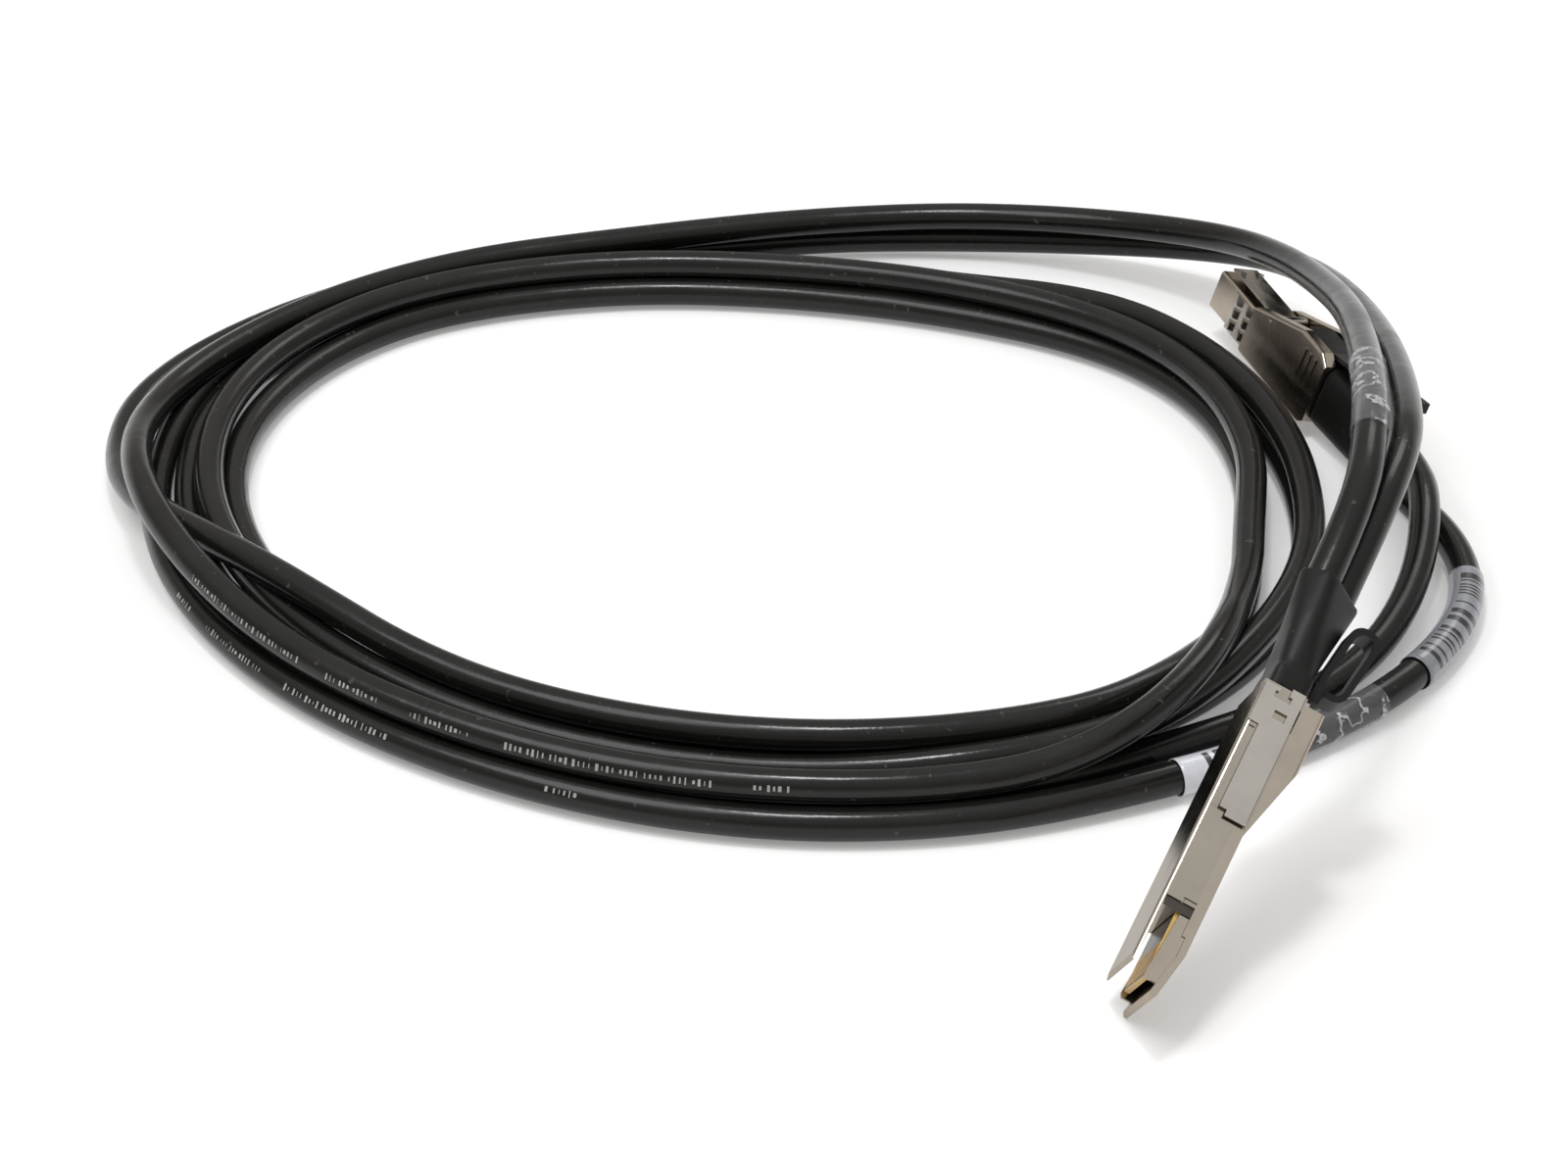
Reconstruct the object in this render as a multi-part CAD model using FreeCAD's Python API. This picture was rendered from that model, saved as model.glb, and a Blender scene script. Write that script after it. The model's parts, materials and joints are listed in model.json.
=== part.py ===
import FreeCAD
import Part
import math
import os

# External storage cable: a QSFP plug and a mini SAS HD plug joined by two round jacketed cables that lie
# on a table in a loose coil. Millimetres, +Z up, floor at z = 0, origin on the floor under the middle of
# the two plugs' box. Each plug is drawn in its own frame, x from the nose to the back, and then laid down.

V = FreeCAD.Vector

# Cables
CABLE_OD = 6.8
CORE_OD = 1.5
FERRULE_WALL = 0.25
FERRULE_GAP = 0.2
FERRULE_OD = CABLE_OD + 2 * FERRULE_WALL
CABLE_PITCH = FERRULE_OD + FERRULE_GAP
LABEL_FILM = 0.25

# Coil of cable, drawn as the outer shape of its turns
COIL_OUTER_CENTRE = V(-13, 31, 0)
COIL_OUTER_LONG = 138.0
COIL_OUTER_SHORT = 115.0
COIL_OUTER_TURN = -28.0
COIL_INNER_CENTRE = V(-6.5, 34.5, 0)
COIL_INNER_LONG = 116.0
COIL_INNER_SHORT = 93.0
COIL_INNER_TURN = -21.0
COIL_HEIGHT = 14.0
COIL_CORNER = 5.0

# QSFP plug: cover face at z = 0, base face at z = QSFP_THICKNESS, bulge above it at the back
QSFP_LENGTH = 64.0
QSFP_WIDTH = 18.35
QSFP_THICKNESS = 8.5
QSFP_BACK_THICKNESS = 12.7
QSFP_PLATE = 1.0
QSFP_WALL = 1.2
QSFP_BACK_WALL = 2.0
QSFP_FRONT_WALL = 1.4
QSFP_SEAM = 6.4
QSFP_COVER_TIP = 4.6
QSFP_COVER_WALL = 16.2
QSFP_BAND_LENGTH = 1.9
QSFP_BAND_DEPTH = 0.5
QSFP_EDGE = 0.8
QSFP_PRONG = 1.4
QSFP_PRONG_BACK = 9.3
QSFP_TIP_RISE = 1.6
QSFP_BASE_WALL = 10.8
QSFP_RAIL_FRONT = 2.7
QSFP_RAIL_BACK = 15.9
QSFP_RAIL_IN = 7.85
QSFP_RAIL_OUT = 8.75
QSFP_STEP = 35.2
QSFP_SLOPE_START = 34.4
QSFP_SLOPE_END = 50.6
QSFP_BULGE_BACK = QSFP_LENGTH - 1.3
QSFP_CABLE_Z = 5.2
QSFP_FERRULE_LENGTH = 12.0

QSFP_CARD_TIP = 3.6
QSFP_CARD_BACK = 36.0
QSFP_CARD_WIDTH = 15.4
CARD_THICKNESS = 1.0
QSFP_CARD_Z = 4.25
QSFP_PAD_COUNT = 19
QSFP_PAD_PITCH = 0.8
QSFP_PAD_WIDTH = 0.54
QSFP_PAD_LENGTH = 6.0
PAD_THICKNESS = 0.08
PAD_SETBACK = 0.6

SLIDE_TRAVEL = 2.5
ARM_FRONT = 36.5
ARM_LOW = 2.3
ARM_HIGH = 8.0
HEEL_FRONT = QSFP_LENGTH - 9.0
HEEL_BACK = QSFP_LENGTH + 0.2
HEEL_LOW = 0.25
HEEL_STEP = 0.9
ARM_BACK = HEEL_FRONT + 0.6
NOTCH_DEPTH = 1.8
NOTCH_HEAD = 1.2
NOTCH_LOW = 3.2
NOTCH_HIGH = 5.3
WINDOW_FRONT = HEEL_FRONT + 2.3
WINDOW_LENGTH = 1.7
WINDOW_LOW = 3.9
WINDOW_HIGH = 6.4
RIB_LOW = 0.75
RIB_HIGH = 1.95
RIB_RISE = 0.35
ARM_THICKNESS = 0.6
ARM_SINK = 0.4
ARM_FLARE = 0.7
ARM_FLARE_LENGTH = 2.6
LUG_FRONT = QSFP_LENGTH - 7.4
LUG_BACK = QSFP_LENGTH - 5.6
LUG_LOW = 6.9
LUG_HIGH = 8.0
BAR_LOW = 9.2
BAR_HIGH = 10.4
RISER_OUT = 7.75
RISER_IN = 7.15
TONGUE_WIDTH = 6.0
TONGUE_LOW = 9.4
TONGUE_HIGH = 10.2
TONGUE_REACH = 5.0
SPRING_STRIP = 0.2
SPRING_LEGS = 4
SPRING_DEPTH = 2.8
SPRING_HEIGHT = 1.0
LOOP_LENGTH = 16.5
LOOP_WIDTH = 6.4
LOOP_BAND = 1.3
LOOP_TILT = 8.0
LOOP_ROOT = 4.0

SCREW_X = 27.0
SCREW_Y = 6.6
SCREW_SHANK = 1.6
SCREW_HEAD = 2.6
SCREW_HEAD_HEIGHT = 0.6
BOSS_OD = 2.7

QSFP_COLLAR = 5.0
QSFP_BOOT_LENGTH = 26.0
QSFP_COLLAR_Y = 15.6
QSFP_COLLAR_Z = 7.8
QSFP_BOOT_END_Y = 15.4
QSFP_BOOT_END_Z = 8.2
QSFP_BOOT_TWIST = -40.0
BOOT_CORNER = 2.4

# Mini SAS HD plug: underside at z = 0
SAS_NOSE_WIDTH = 10.2
SAS_NOSE_HEIGHT = 9.9
SAS_NOSE_WALL = 0.8
SAS_SHROUD_LENGTH = 22.0
SAS_BODY_FRONT = 19.6
SAS_BODY_BACK = 53.0
SAS_BODY_WIDTH = 13.4
SAS_BODY_DROP = 0.9
SAS_EDGE = 0.7
SAS_RIB_PLACES = (43.5, 46.0, 48.5)
SAS_RIB_WIDTH = 0.9
SAS_RIB_RISE = 0.35
SAS_BODY_FRONT_HEIGHT = 11.8
SAS_BODY_HEIGHT = 17.6
SAS_SLOPE_END = 40.0
SAS_WALL = 1.0
SAS_SEAM = 6.4
SAS_CABLE_Z = 8.2
SAS_FERRULE_LENGTH = 7.0

GASKET_FRONT = 9.2
GASKET_BACK = 19.2
GASKET_SHEET = 0.3
FINGER_ROWS = 2
FINGER_COUNT = 3
FINGER_WIDTH = 2.0
FINGER_RISE = 0.9

SAS_CARD_TIP = 2.6
SAS_CARD_BACK = 31.0
SAS_CARD_WIDTH = 8.2
SAS_CARD_LEVELS = (3.1, 6.8)
SAS_PAD_COUNT = 9
SAS_PAD_PITCH = 0.75
SAS_PAD_WIDTH = 0.45
SAS_PAD_LENGTH = 5.0

LATCH_FRONT = 1.5
LATCH_BACK = 33.0
LATCH_WIDTH = 6.6
LATCH_SHEET = 0.6
LATCH_GAP = 1.2
LATCH_TURN = 2.2
HOOK_FRONT = 2.6
HOOK_LENGTH = 2.4
HOOK_RISE = 0.8
HOOK_WIDTH = 1.6
PIVOT_X = 27.0
PIVOT_OD = 1.2
BARREL_OD = 2.4
PIVOT_CLEARANCE = 0.05
CHANNEL_CLEARANCE = 0.4
CHANNEL_WEB = 0.6

TAB_TRAVEL = 2.0
TAB_FRONT = 34.6
TAB_BACK = 78.0
TAB_WIDTH = 6.4
TAB_STRAP = 1.0
TAB_CHANNEL = 1.6
TAB_GRIP = 14.0
TAB_GRIP_HEIGHT = 2.6
TAB_RISE = 5.0

SAS_BOOT_LENGTH = 20.0
SAS_BOOT_Y = 11.0
SAS_BOOT_Z = 15.2
SAS_BOOT_END_Y = 8.4
SAS_BOOT_END_Z = 14.8

# How each plug lies: nose place on the table, heading of the nose-to-back line, pitch and roll, degrees
QSFP_NOSE = V(57.2, -145.8, 0)
QSFP_HEADING = 58.8
QSFP_PITCH = 29.0
QSFP_ROLL = 116.7
SAS_NEAR_SIDE = 101.8
SAS_NOSE = V(SAS_NEAR_SIDE + SAS_BODY_WIDTH / 2, 116.0, 0)
SAS_HEADING = -70.6
SAS_PITCH = -5.0
SAS_ROLL = -15.6

# Routes of the cable ends, from each boot to the coil, as points on the table plan and heights
QSFP_ROUTE_A = [V(113.5, -46, 67.5), V(117.5, -21, 63), V(121, 7, 56), V(123.7, 39.5, 47), V(123, 70, 37.5),
                V(119, 98, 29.5), V(110, 122, 22.4), V(91, 141, 16.4), V(65, 152.5, 13), V(40, 156.5, 11.6),
                V(15, 155.5, 11), V(-11, 151.5, 10.8), V(-37, 143.5, 10.8), V(-61, 132, 10.8)]
QSFP_ROUTE_B = [V(122, -40.5, 60.5), V(126, -16, 56), V(129, 12.5, 49), V(130.7, 43, 40.5), V(130.2, 73, 32),
                V(127, 101, 24), V(118.5, 127.5, 15.5), V(97.5, 145.5, 9), V(68, 155, 5.5), V(40, 158.5, 4.2),
                V(15, 158.5, 4), V(-11, 154.8, 4), V(-37, 147, 4), V(-62, 135.5, 4)]
SAS_ROUTE_A = [V(140.5, 16, 11.5), V(136.5, -3, 7.5), V(128, -22, 4.4), V(115, -40, 3.7), V(96.5, -54.5, 3.7),
               V(74, -65.5, 3.7), V(48.5, -73.5, 3.8), V(22, -78, 4)]
SAS_ROUTE_B = [V(146, 15.5, 3.9), V(147.5, -2, 3.8), V(142.5, -20.5, 3.8), V(130, -39, 3.8), V(112, -55.5, 3.8),
               V(89, -69.5, 3.8), V(63, -80, 3.8), V(37, -86, 4), V(10, -85, 4.4)]
BARCODE_LABEL_BEND = 3
FRONT_LABEL_BEND = 6
LABEL_TAPE_BEND = 5
CLEAR_TAPE_BEND = 2
QSFP_EXIT_RUN = 18.0
SAS_EXIT_RUN = 16.0


def box(x0, x1, y0, y1, z0, z1):
    """A block between two corners."""
    return Part.makeBox(x1 - x0, y1 - y0, z1 - z0, V(x0, y0, z0))


def prism(outline, y0, y1):
    """A side outline of (x, z) points, drawn out across the plug from y0 to y1."""
    points = [V(x, y0, z) for x, z in outline]
    face = Part.Face(Part.makePolygon(points + points[:1]))
    return face.extrude(V(0, y1 - y0, 0))


def plan_prism(outline, z0, z1):
    """A plan outline of (x, y) points, drawn up from z0 to z1."""
    points = [V(x, y, z0) for x, y in outline]
    face = Part.Face(Part.makePolygon(points + points[:1]))
    return face.extrude(V(0, 0, z1 - z0))


def rod(x0, x1, y, z, diameter):
    """A round bar along the plug."""
    return Part.makeCylinder(diameter / 2, x1 - x0, V(x0, y, z), V(1, 0, 0))


def rounded_section(x, y, z, size_y, size_z, corner, twist=0.0):
    """A closed rounded rectangle across the plug, turned about the plug's own line."""
    hy = size_y / 2 - corner
    hz = size_z / 2 - corner
    diagonal = corner * math.sqrt(0.5)
    edges = []
    corners = [(hy, hz, 0), (-hy, hz, 90), (-hy, -hz, 180), (hy, -hz, 270)]
    ends = []
    for cy, cz, start in corners:
        a0 = math.radians(start)
        first = V(x, y + cy + corner * math.cos(a0), z + cz + corner * math.sin(a0))
        turn = V(-math.sin(a0), 0, 0)
        middle = V(x, y + cy + diagonal * (math.cos(a0) + turn.x), z + cz + diagonal * (math.sin(a0) + math.cos(a0)))
        last = V(x, y + cy + corner * turn.x, z + cz + corner * math.cos(a0))
        ends.append((first, middle, last))
    for index, (first, middle, last) in enumerate(ends):
        edges.append(Part.Arc(first, middle, last).toShape())
        edges.append(Part.LineSegment(last, ends[(index + 1) % 4][0]).toShape())
    wire = Part.Wire(edges)
    wire.rotate(V(x, y, z), V(1, 0, 0), twist)
    return wire


def path_edges(points):
    """Straight runs joined by tangent arcs, each arc as large as its two runs allow."""
    edges = []
    bends = []
    start = points[0]
    for before, corner, after in zip(points, points[1:], points[2:]):
        back = before - corner
        ahead = after - corner
        turn = math.pi - back.getAngle(ahead)
        reach = 0.45 * min(back.Length, ahead.Length)
        radius = reach / math.tan(turn / 2)
        back.normalize()
        ahead.normalize()
        first = corner + back * reach
        last = corner + ahead * reach
        inward = back + ahead
        inward.normalize()
        centre = corner + inward * (radius / math.cos(turn / 2))
        middle = centre - inward * radius
        edges.append(Part.LineSegment(start, first).toShape())
        edges.append(Part.Arc(first, middle, last).toShape())
        bends.append({"first": first, "tangent": back * -1, "centre": centre, "turn": turn, "radius": radius})
        start = last
    edges.append(Part.LineSegment(start, points[-1]).toShape())
    return edges, bends


def cable(points):
    """A round cable along a route, with its bends."""
    edges, bends = path_edges(points)
    path = Part.Wire(edges)
    heading = points[1] - points[0]
    profile = Part.Wire(Part.makeCircle(CABLE_OD / 2, points[0], heading))
    solid = path.makePipeShell([profile], True, False)
    share = solid.Volume / (math.pi * CABLE_OD ** 2 / 4 * path.Length)
    radii = " ".join("%.1f" % bend["radius"] for bend in bends)
    print("cable %.1f mm, volume share %.4f, radii %s" % (path.Length, share, radii))
    return solid, bends


def sleeve(bend):
    """A film wrapped round the cable along one of its bends."""
    outer = Part.Face(Part.Wire(Part.makeCircle(CABLE_OD / 2 + LABEL_FILM, bend["first"], bend["tangent"])))
    inner = Part.Face(Part.Wire(Part.makeCircle(CABLE_OD / 2, bend["first"], bend["tangent"])))
    axis = bend["tangent"].cross(bend["centre"] - bend["first"])
    turn = math.degrees(bend["turn"])
    return outer.revolve(bend["centre"], axis, turn).cut(inner.revolve(bend["centre"], axis, turn)).Solids[0]


def oval_face(centre, long_half, short_half, turn):
    """A flat oval on the table, turned about its own middle."""
    face = Part.Face(Part.Wire(Part.Ellipse(V(0, 0, 0), long_half, short_half).toShape()))
    face.rotate(V(0, 0, 0), V(0, 0, 1), turn)
    face.translate(centre)
    return face


def cable_coil():
    """The outer shape of the coiled turns: a round-edged band between two ovals, wide where strands spread."""
    outer = oval_face(COIL_OUTER_CENTRE, COIL_OUTER_LONG, COIL_OUTER_SHORT, COIL_OUTER_TURN)
    inner = oval_face(COIL_INNER_CENTRE, COIL_INNER_LONG, COIL_INNER_SHORT, COIL_INNER_TURN)
    band = outer.extrude(V(0, 0, COIL_HEIGHT)).cut(inner.extrude(V(0, 0, COIL_HEIGHT)))
    rims = [edge for edge in band.Edges if edge.Length > COIL_OUTER_SHORT]
    return band.makeFillet(COIL_CORNER, rims).Solids[0]


def long_edges(shape, half, low, high):
    """The edges along a plug's two sides whose ends lie between two heights."""
    found = []
    for edge in shape.Edges:
        ends = [vertex.Point for vertex in edge.Vertexes]
        on_side = all(abs(abs(point.y) - half) < 0.01 and low <= point.z <= high for point in ends)
        if on_side and abs(ends[0].y - ends[-1].y) < 0.01 and abs(ends[0].x - ends[-1].x) > 1.0:
            found.append(edge)
    return found


def both_sides(shape):
    """A piece and its mirror image on the plug's other side."""
    return [shape, shape.mirror(V(0, 0, 0), V(0, 1, 0))]


def qsfp_ferrule_places():
    """Where the two cables stand across the QSFP plug."""
    return [CABLE_PITCH / 2, -CABLE_PITCH / 2]


def qsfp_ferrules():
    """The two crimp ferrules that hold the cables' stripped ends in the back wall."""
    front = QSFP_LENGTH - QSFP_FERRULE_LENGTH
    return [rod(front, QSFP_LENGTH, y, QSFP_CABLE_Z, FERRULE_OD) for y in qsfp_ferrule_places()]


def qsfp_cores():
    """Eight shielded pairs from the ferrules to the two faces of the card."""
    level = CARD_THICKNESS / 2 + CORE_OD / 2 + 0.05
    back = QSFP_LENGTH - QSFP_FERRULE_LENGTH
    cores = []
    for centre in qsfp_ferrule_places():
        for across in (-1.75, 1.75):
            for side in (-1, 1):
                cores.append(rod(QSFP_CARD_BACK - 4, back, centre + across, QSFP_CARD_Z + side * level, CORE_OD))
    return cores


def screw_places():
    """The two screws that close the QSFP shells."""
    return [(SCREW_X, SCREW_Y), (SCREW_X, -SCREW_Y)]


def qsfp_cover_shell():
    """The cover: wide face with rounded edges, both narrow sides, an inset front band, ribs and back wall."""
    half = QSFP_WIDTH / 2
    inside = half - QSFP_WALL
    outline = [(QSFP_COVER_TIP, 0.3), (QSFP_COVER_TIP + 1.2, 0), (QSFP_LENGTH, 0), (QSFP_LENGTH, QSFP_THICKNESS),
               (QSFP_STEP, QSFP_THICKNESS), (QSFP_STEP, QSFP_SEAM), (QSFP_COVER_WALL, QSFP_SEAM),
               (QSFP_COVER_WALL, QSFP_PLATE), (QSFP_COVER_TIP, QSFP_PLATE * 0.6)]
    shell = prism(outline, -half, half)
    shell = shell.makeFillet(QSFP_EDGE, long_edges(shell, half, -0.01, 0.01))
    cavity_front = QSFP_COVER_WALL + QSFP_FRONT_WALL
    cavity_back = QSFP_LENGTH - QSFP_BACK_WALL
    shell = shell.cut(box(cavity_front, cavity_back, -inside, inside, QSFP_PLATE, QSFP_THICKNESS + 1))
    slot_half = QSFP_CARD_WIDTH / 2 + 0.2
    slot_rise = CARD_THICKNESS / 2 + 0.15
    shell = shell.cut(box(QSFP_COVER_WALL - 1, cavity_front + 1, -slot_half, slot_half,
                          QSFP_CARD_Z - slot_rise, QSFP_CARD_Z + slot_rise))
    band_back = QSFP_COVER_WALL + QSFP_BAND_LENGTH
    for side in (1, -1):
        outer = side * (half + 1)
        y0, y1 = sorted((side * (half - QSFP_BAND_DEPTH), outer))
        shell = shell.cut(box(QSFP_COVER_WALL - 1, band_back, y0, y1, QSFP_EDGE, QSFP_SEAM + 1))
        shell = shell.cut(box(band_back - 0.1, band_back + 0.8, y0, y1, 3.8, 4.1))
        shell = shell.cut(box(band_back + 0.7, band_back + 1.0, y0, y1, 3.8, QSFP_SEAM + 1))
        y0, y1 = sorted((side * (half - ARM_SINK), outer))
        shell = shell.cut(box(ARM_FRONT - 1, HEEL_FRONT, y0, y1, ARM_LOW - 0.15, ARM_HIGH + 0.15))
        shell = shell.cut(box(HEEL_FRONT - 0.15, QSFP_LENGTH + 1, y0, y1, -1, ARM_HIGH + 0.15))
        y0, y1 = sorted((side * (inside - 0.5), outer))
        shell = shell.cut(box(LUG_FRONT - 0.3, LUG_BACK + SLIDE_TRAVEL + 0.3, y0, y1, LUG_LOW - 0.2, LUG_HIGH + 0.3))
        rib = plan_prism([(ARM_FRONT, half - 0.2), (ARM_FRONT + 0.8, half + RIB_RISE),
                          (HEEL_FRONT - 1.3, half + RIB_RISE), (HEEL_FRONT - 0.5, half - 0.2)], RIB_LOW, RIB_HIGH)
        shell = shell.fuse(rib if side == 1 else both_sides(rib)[1])
    for place in qsfp_ferrules():
        shell = shell.cut(place)
    for x, y in screw_places():
        boss = Part.makeCylinder(BOSS_OD / 2, QSFP_SEAM - QSFP_PLATE / 2, V(x, y, QSFP_PLATE / 2))
        pilot = Part.makeCylinder(SCREW_SHANK / 2, QSFP_SEAM, V(x, y, QSFP_PLATE))
        shell = shell.fuse(boss).cut(pilot)
    return shell.removeSplitter()


def qsfp_base_shell():
    """The base: a tapered prong plate with a rail on each side, and the sloped bulge over the cables."""
    half = QSFP_WIDTH / 2
    inside = half - QSFP_WALL
    top = QSFP_THICKNESS
    back = QSFP_BACK_THICKNESS
    tip = top - QSFP_TIP_RISE
    outline = [(0, tip - 0.3), (0, tip - 1.0), (0.9, tip - QSFP_PRONG), (QSFP_PRONG_BACK, top - QSFP_PRONG),
               (QSFP_BASE_WALL, QSFP_SEAM), (QSFP_STEP, QSFP_SEAM), (QSFP_STEP, top), (QSFP_BULGE_BACK, top),
               (QSFP_BULGE_BACK, back), (QSFP_SLOPE_END, back), (QSFP_SLOPE_START, top),
               (QSFP_PRONG_BACK, top), (0.6, tip)]
    shell = prism(outline, -half, half)
    shell = shell.makeFillet(QSFP_EDGE, long_edges(shell, half, back - 0.01, back + 0.01))
    shell = shell.cut(box(QSFP_PRONG_BACK, QSFP_STEP + 1, -inside, inside, QSFP_SEAM - 1, top - QSFP_PLATE))
    hollow_back = QSFP_LENGTH - QSFP_BACK_WALL
    hollow = [(QSFP_STEP - 1, top - QSFP_PLATE), (QSFP_SLOPE_START + 1, top - QSFP_PLATE),
              (QSFP_SLOPE_END + 0.3, back - QSFP_PLATE), (hollow_back, back - QSFP_PLATE),
              (hollow_back, top - 2), (QSFP_STEP - 1, top - 2)]
    shell = shell.cut(prism(hollow, -inside, inside))
    shell = shell.cut(box(hollow_back - 1, QSFP_LENGTH + 1, -TONGUE_WIDTH / 2 - 0.3, TONGUE_WIDTH / 2 + 0.3,
                          TONGUE_LOW - 0.2, TONGUE_HIGH + 0.2))
    rail = prism([(QSFP_RAIL_FRONT, 3.9), (QSFP_RAIL_FRONT + 0.8, 3.5), (QSFP_RAIL_BACK, 4.5),
                  (QSFP_RAIL_BACK, top - 0.8), (QSFP_PRONG_BACK, top - 0.8), (QSFP_RAIL_FRONT, tip - 0.6)],
                 QSFP_RAIL_IN, QSFP_RAIL_OUT)
    shell = shell.fuse(both_sides(rail))
    notch = box(QSFP_PRONG_BACK - 1, QSFP_PRONG_BACK + 3.2, half - 0.4, half + 1, QSFP_SEAM - 1, QSFP_SEAM + 0.7)
    for piece in both_sides(notch):
        shell = shell.cut(piece)
    for place in qsfp_ferrules():
        shell = shell.cut(place)
    for x, y in screw_places():
        boss = Part.makeCylinder(BOSS_OD / 2, top - QSFP_SEAM - 0.2, V(x, y, QSFP_SEAM))
        shank = Part.makeCylinder(SCREW_SHANK / 2, top, V(x, y, QSFP_SEAM - 1))
        head = Part.makeCylinder(SCREW_HEAD / 2, SCREW_HEAD_HEIGHT + 1, V(x, y, top - SCREW_HEAD_HEIGHT))
        shell = shell.fuse(boss).cut(shank).cut(head)
    return shell.removeSplitter()


def qsfp_screws():
    """Two countersunk screws through the base into the cover's bosses."""
    screws = []
    for x, y in screw_places():
        shank = Part.makeCylinder(SCREW_SHANK / 2, QSFP_THICKNESS - 2 * QSFP_PLATE, V(x, y, 2 * QSFP_PLATE - 0.4))
        head = Part.makeCylinder(SCREW_HEAD / 2, SCREW_HEAD_HEIGHT - 0.1, V(x, y, QSFP_THICKNESS - SCREW_HEAD_HEIGHT))
        slot = box(x - SCREW_HEAD, x + SCREW_HEAD, y - 0.2, y + 0.2, QSFP_THICKNESS - 0.4, QSFP_THICKNESS)
        screws.append(shank.fuse(head).cut(slot).removeSplitter())
    return screws


def qsfp_paddle_card():
    """The card whose front edge is the plug's contact tongue, notched round the screw bosses."""
    half = QSFP_CARD_WIDTH / 2
    nose = 0.8
    outline = [(QSFP_CARD_TIP, -half + nose), (QSFP_CARD_TIP + nose, -half), (QSFP_CARD_BACK, -half),
               (QSFP_CARD_BACK, half), (QSFP_CARD_TIP + nose, half), (QSFP_CARD_TIP, half - nose)]
    low = QSFP_CARD_Z - CARD_THICKNESS / 2
    card = plan_prism(outline, low, low + CARD_THICKNESS)
    for x, y in screw_places():
        card = card.cut(Part.makeCylinder(BOSS_OD / 2 + 0.15, CARD_THICKNESS + 2, V(x, y, low - 1)))
    return card


def pads(tip, z, count, pitch, width, length):
    """Contact pads on both faces of a card."""
    out = []
    for index in range(count):
        y = (index - (count - 1) / 2) * pitch
        for side in (1, -1):
            z0, z1 = sorted((z + side * CARD_THICKNESS / 2, z + side * (CARD_THICKNESS / 2 + PAD_THICKNESS)))
            out.append(box(tip + PAD_SETBACK, tip + PAD_SETBACK + length, y - width / 2, y + width / 2, z0, z1))
    return out


def qsfp_contact_pads():
    """Gold pads of the QSFP card."""
    return pads(QSFP_CARD_TIP, QSFP_CARD_Z, QSFP_PAD_COUNT, QSFP_PAD_PITCH, QSFP_PAD_WIDTH, QSFP_PAD_LENGTH)


def qsfp_release_slide():
    """The latch slide: two side arms with flared ends and notched heels, joined inside by a bar with a tongue."""
    half = QSFP_WIDTH / 2
    seat = half - ARM_SINK + 0.05
    face = seat + ARM_THICKNESS
    front = ARM_FRONT - 0.6
    blade = plan_prism([(front, seat + ARM_FLARE), (front, face + ARM_FLARE), (front + ARM_FLARE_LENGTH, face),
                        (ARM_BACK, face), (ARM_BACK, seat), (front + ARM_FLARE_LENGTH, seat)], ARM_LOW, ARM_HIGH)
    notch = box(front - 1, front + 1.4, seat - 1, half + 2, ARM_LOW - 1, ARM_LOW + 1.5)
    blade = blade.cut(notch)
    heel = box(HEEL_FRONT, HEEL_BACK, seat, face, HEEL_LOW, ARM_HIGH)
    neck = HEEL_BACK - NOTCH_DEPTH
    heel = heel.cut(box(HEEL_BACK - HEEL_STEP, HEEL_BACK + 1, seat - 1, half + 2, HEEL_LOW - 1, NOTCH_LOW + 0.1))
    heel = heel.cut(box(neck, HEEL_BACK + 1, seat - 1, half + 2, NOTCH_LOW, NOTCH_HIGH))
    heel = heel.cut(box(neck - NOTCH_HEAD, neck + 0.1, seat - 1, half + 2, NOTCH_LOW - 0.7, NOTCH_HIGH + 0.6))
    heel = heel.cut(box(WINDOW_FRONT, WINDOW_FRONT + WINDOW_LENGTH, seat - 1, half + 2, WINDOW_LOW, WINDOW_HIGH))
    lug = box(LUG_FRONT, LUG_BACK, RISER_IN, face, LUG_LOW, LUG_HIGH)
    riser = box(LUG_FRONT, LUG_BACK, RISER_IN, RISER_OUT, LUG_LOW, BAR_HIGH)
    parts = []
    for piece in (blade, heel, lug, riser):
        parts += both_sides(piece)
    bar = box(LUG_FRONT, LUG_BACK, -RISER_OUT, RISER_OUT, BAR_LOW, BAR_HIGH)
    tongue = box(LUG_FRONT, QSFP_LENGTH + TONGUE_REACH, -TONGUE_WIDTH / 2, TONGUE_WIDTH / 2, TONGUE_LOW, TONGUE_HIGH)
    return bar.fuse(parts + [tongue]).removeSplitter()


def qsfp_return_springs():
    """Two folded leaf springs between the slide's bar and the back wall."""
    front = LUG_BACK + 0.05
    back = QSFP_LENGTH - QSFP_BACK_WALL - 0.05
    pitch = (back - front - SPRING_STRIP) / (SPRING_LEGS - 1)
    inner = TONGUE_WIDTH / 2 + 0.6
    outer = inner + SPRING_DEPTH
    low = (BAR_LOW + BAR_HIGH - SPRING_HEIGHT) / 2
    legs = []
    for index in range(SPRING_LEGS):
        x = front + index * pitch
        legs.append(box(x, x + SPRING_STRIP, inner, outer, low, low + SPRING_HEIGHT))
        if index < SPRING_LEGS - 1:
            y = outer - SPRING_STRIP if index % 2 == 0 else inner
            legs.append(box(x, x + pitch + SPRING_STRIP, y, y + SPRING_STRIP, low, low + SPRING_HEIGHT))
    spring = legs[0].fuse(legs[1:]).removeSplitter()
    return both_sides(spring)


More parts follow.
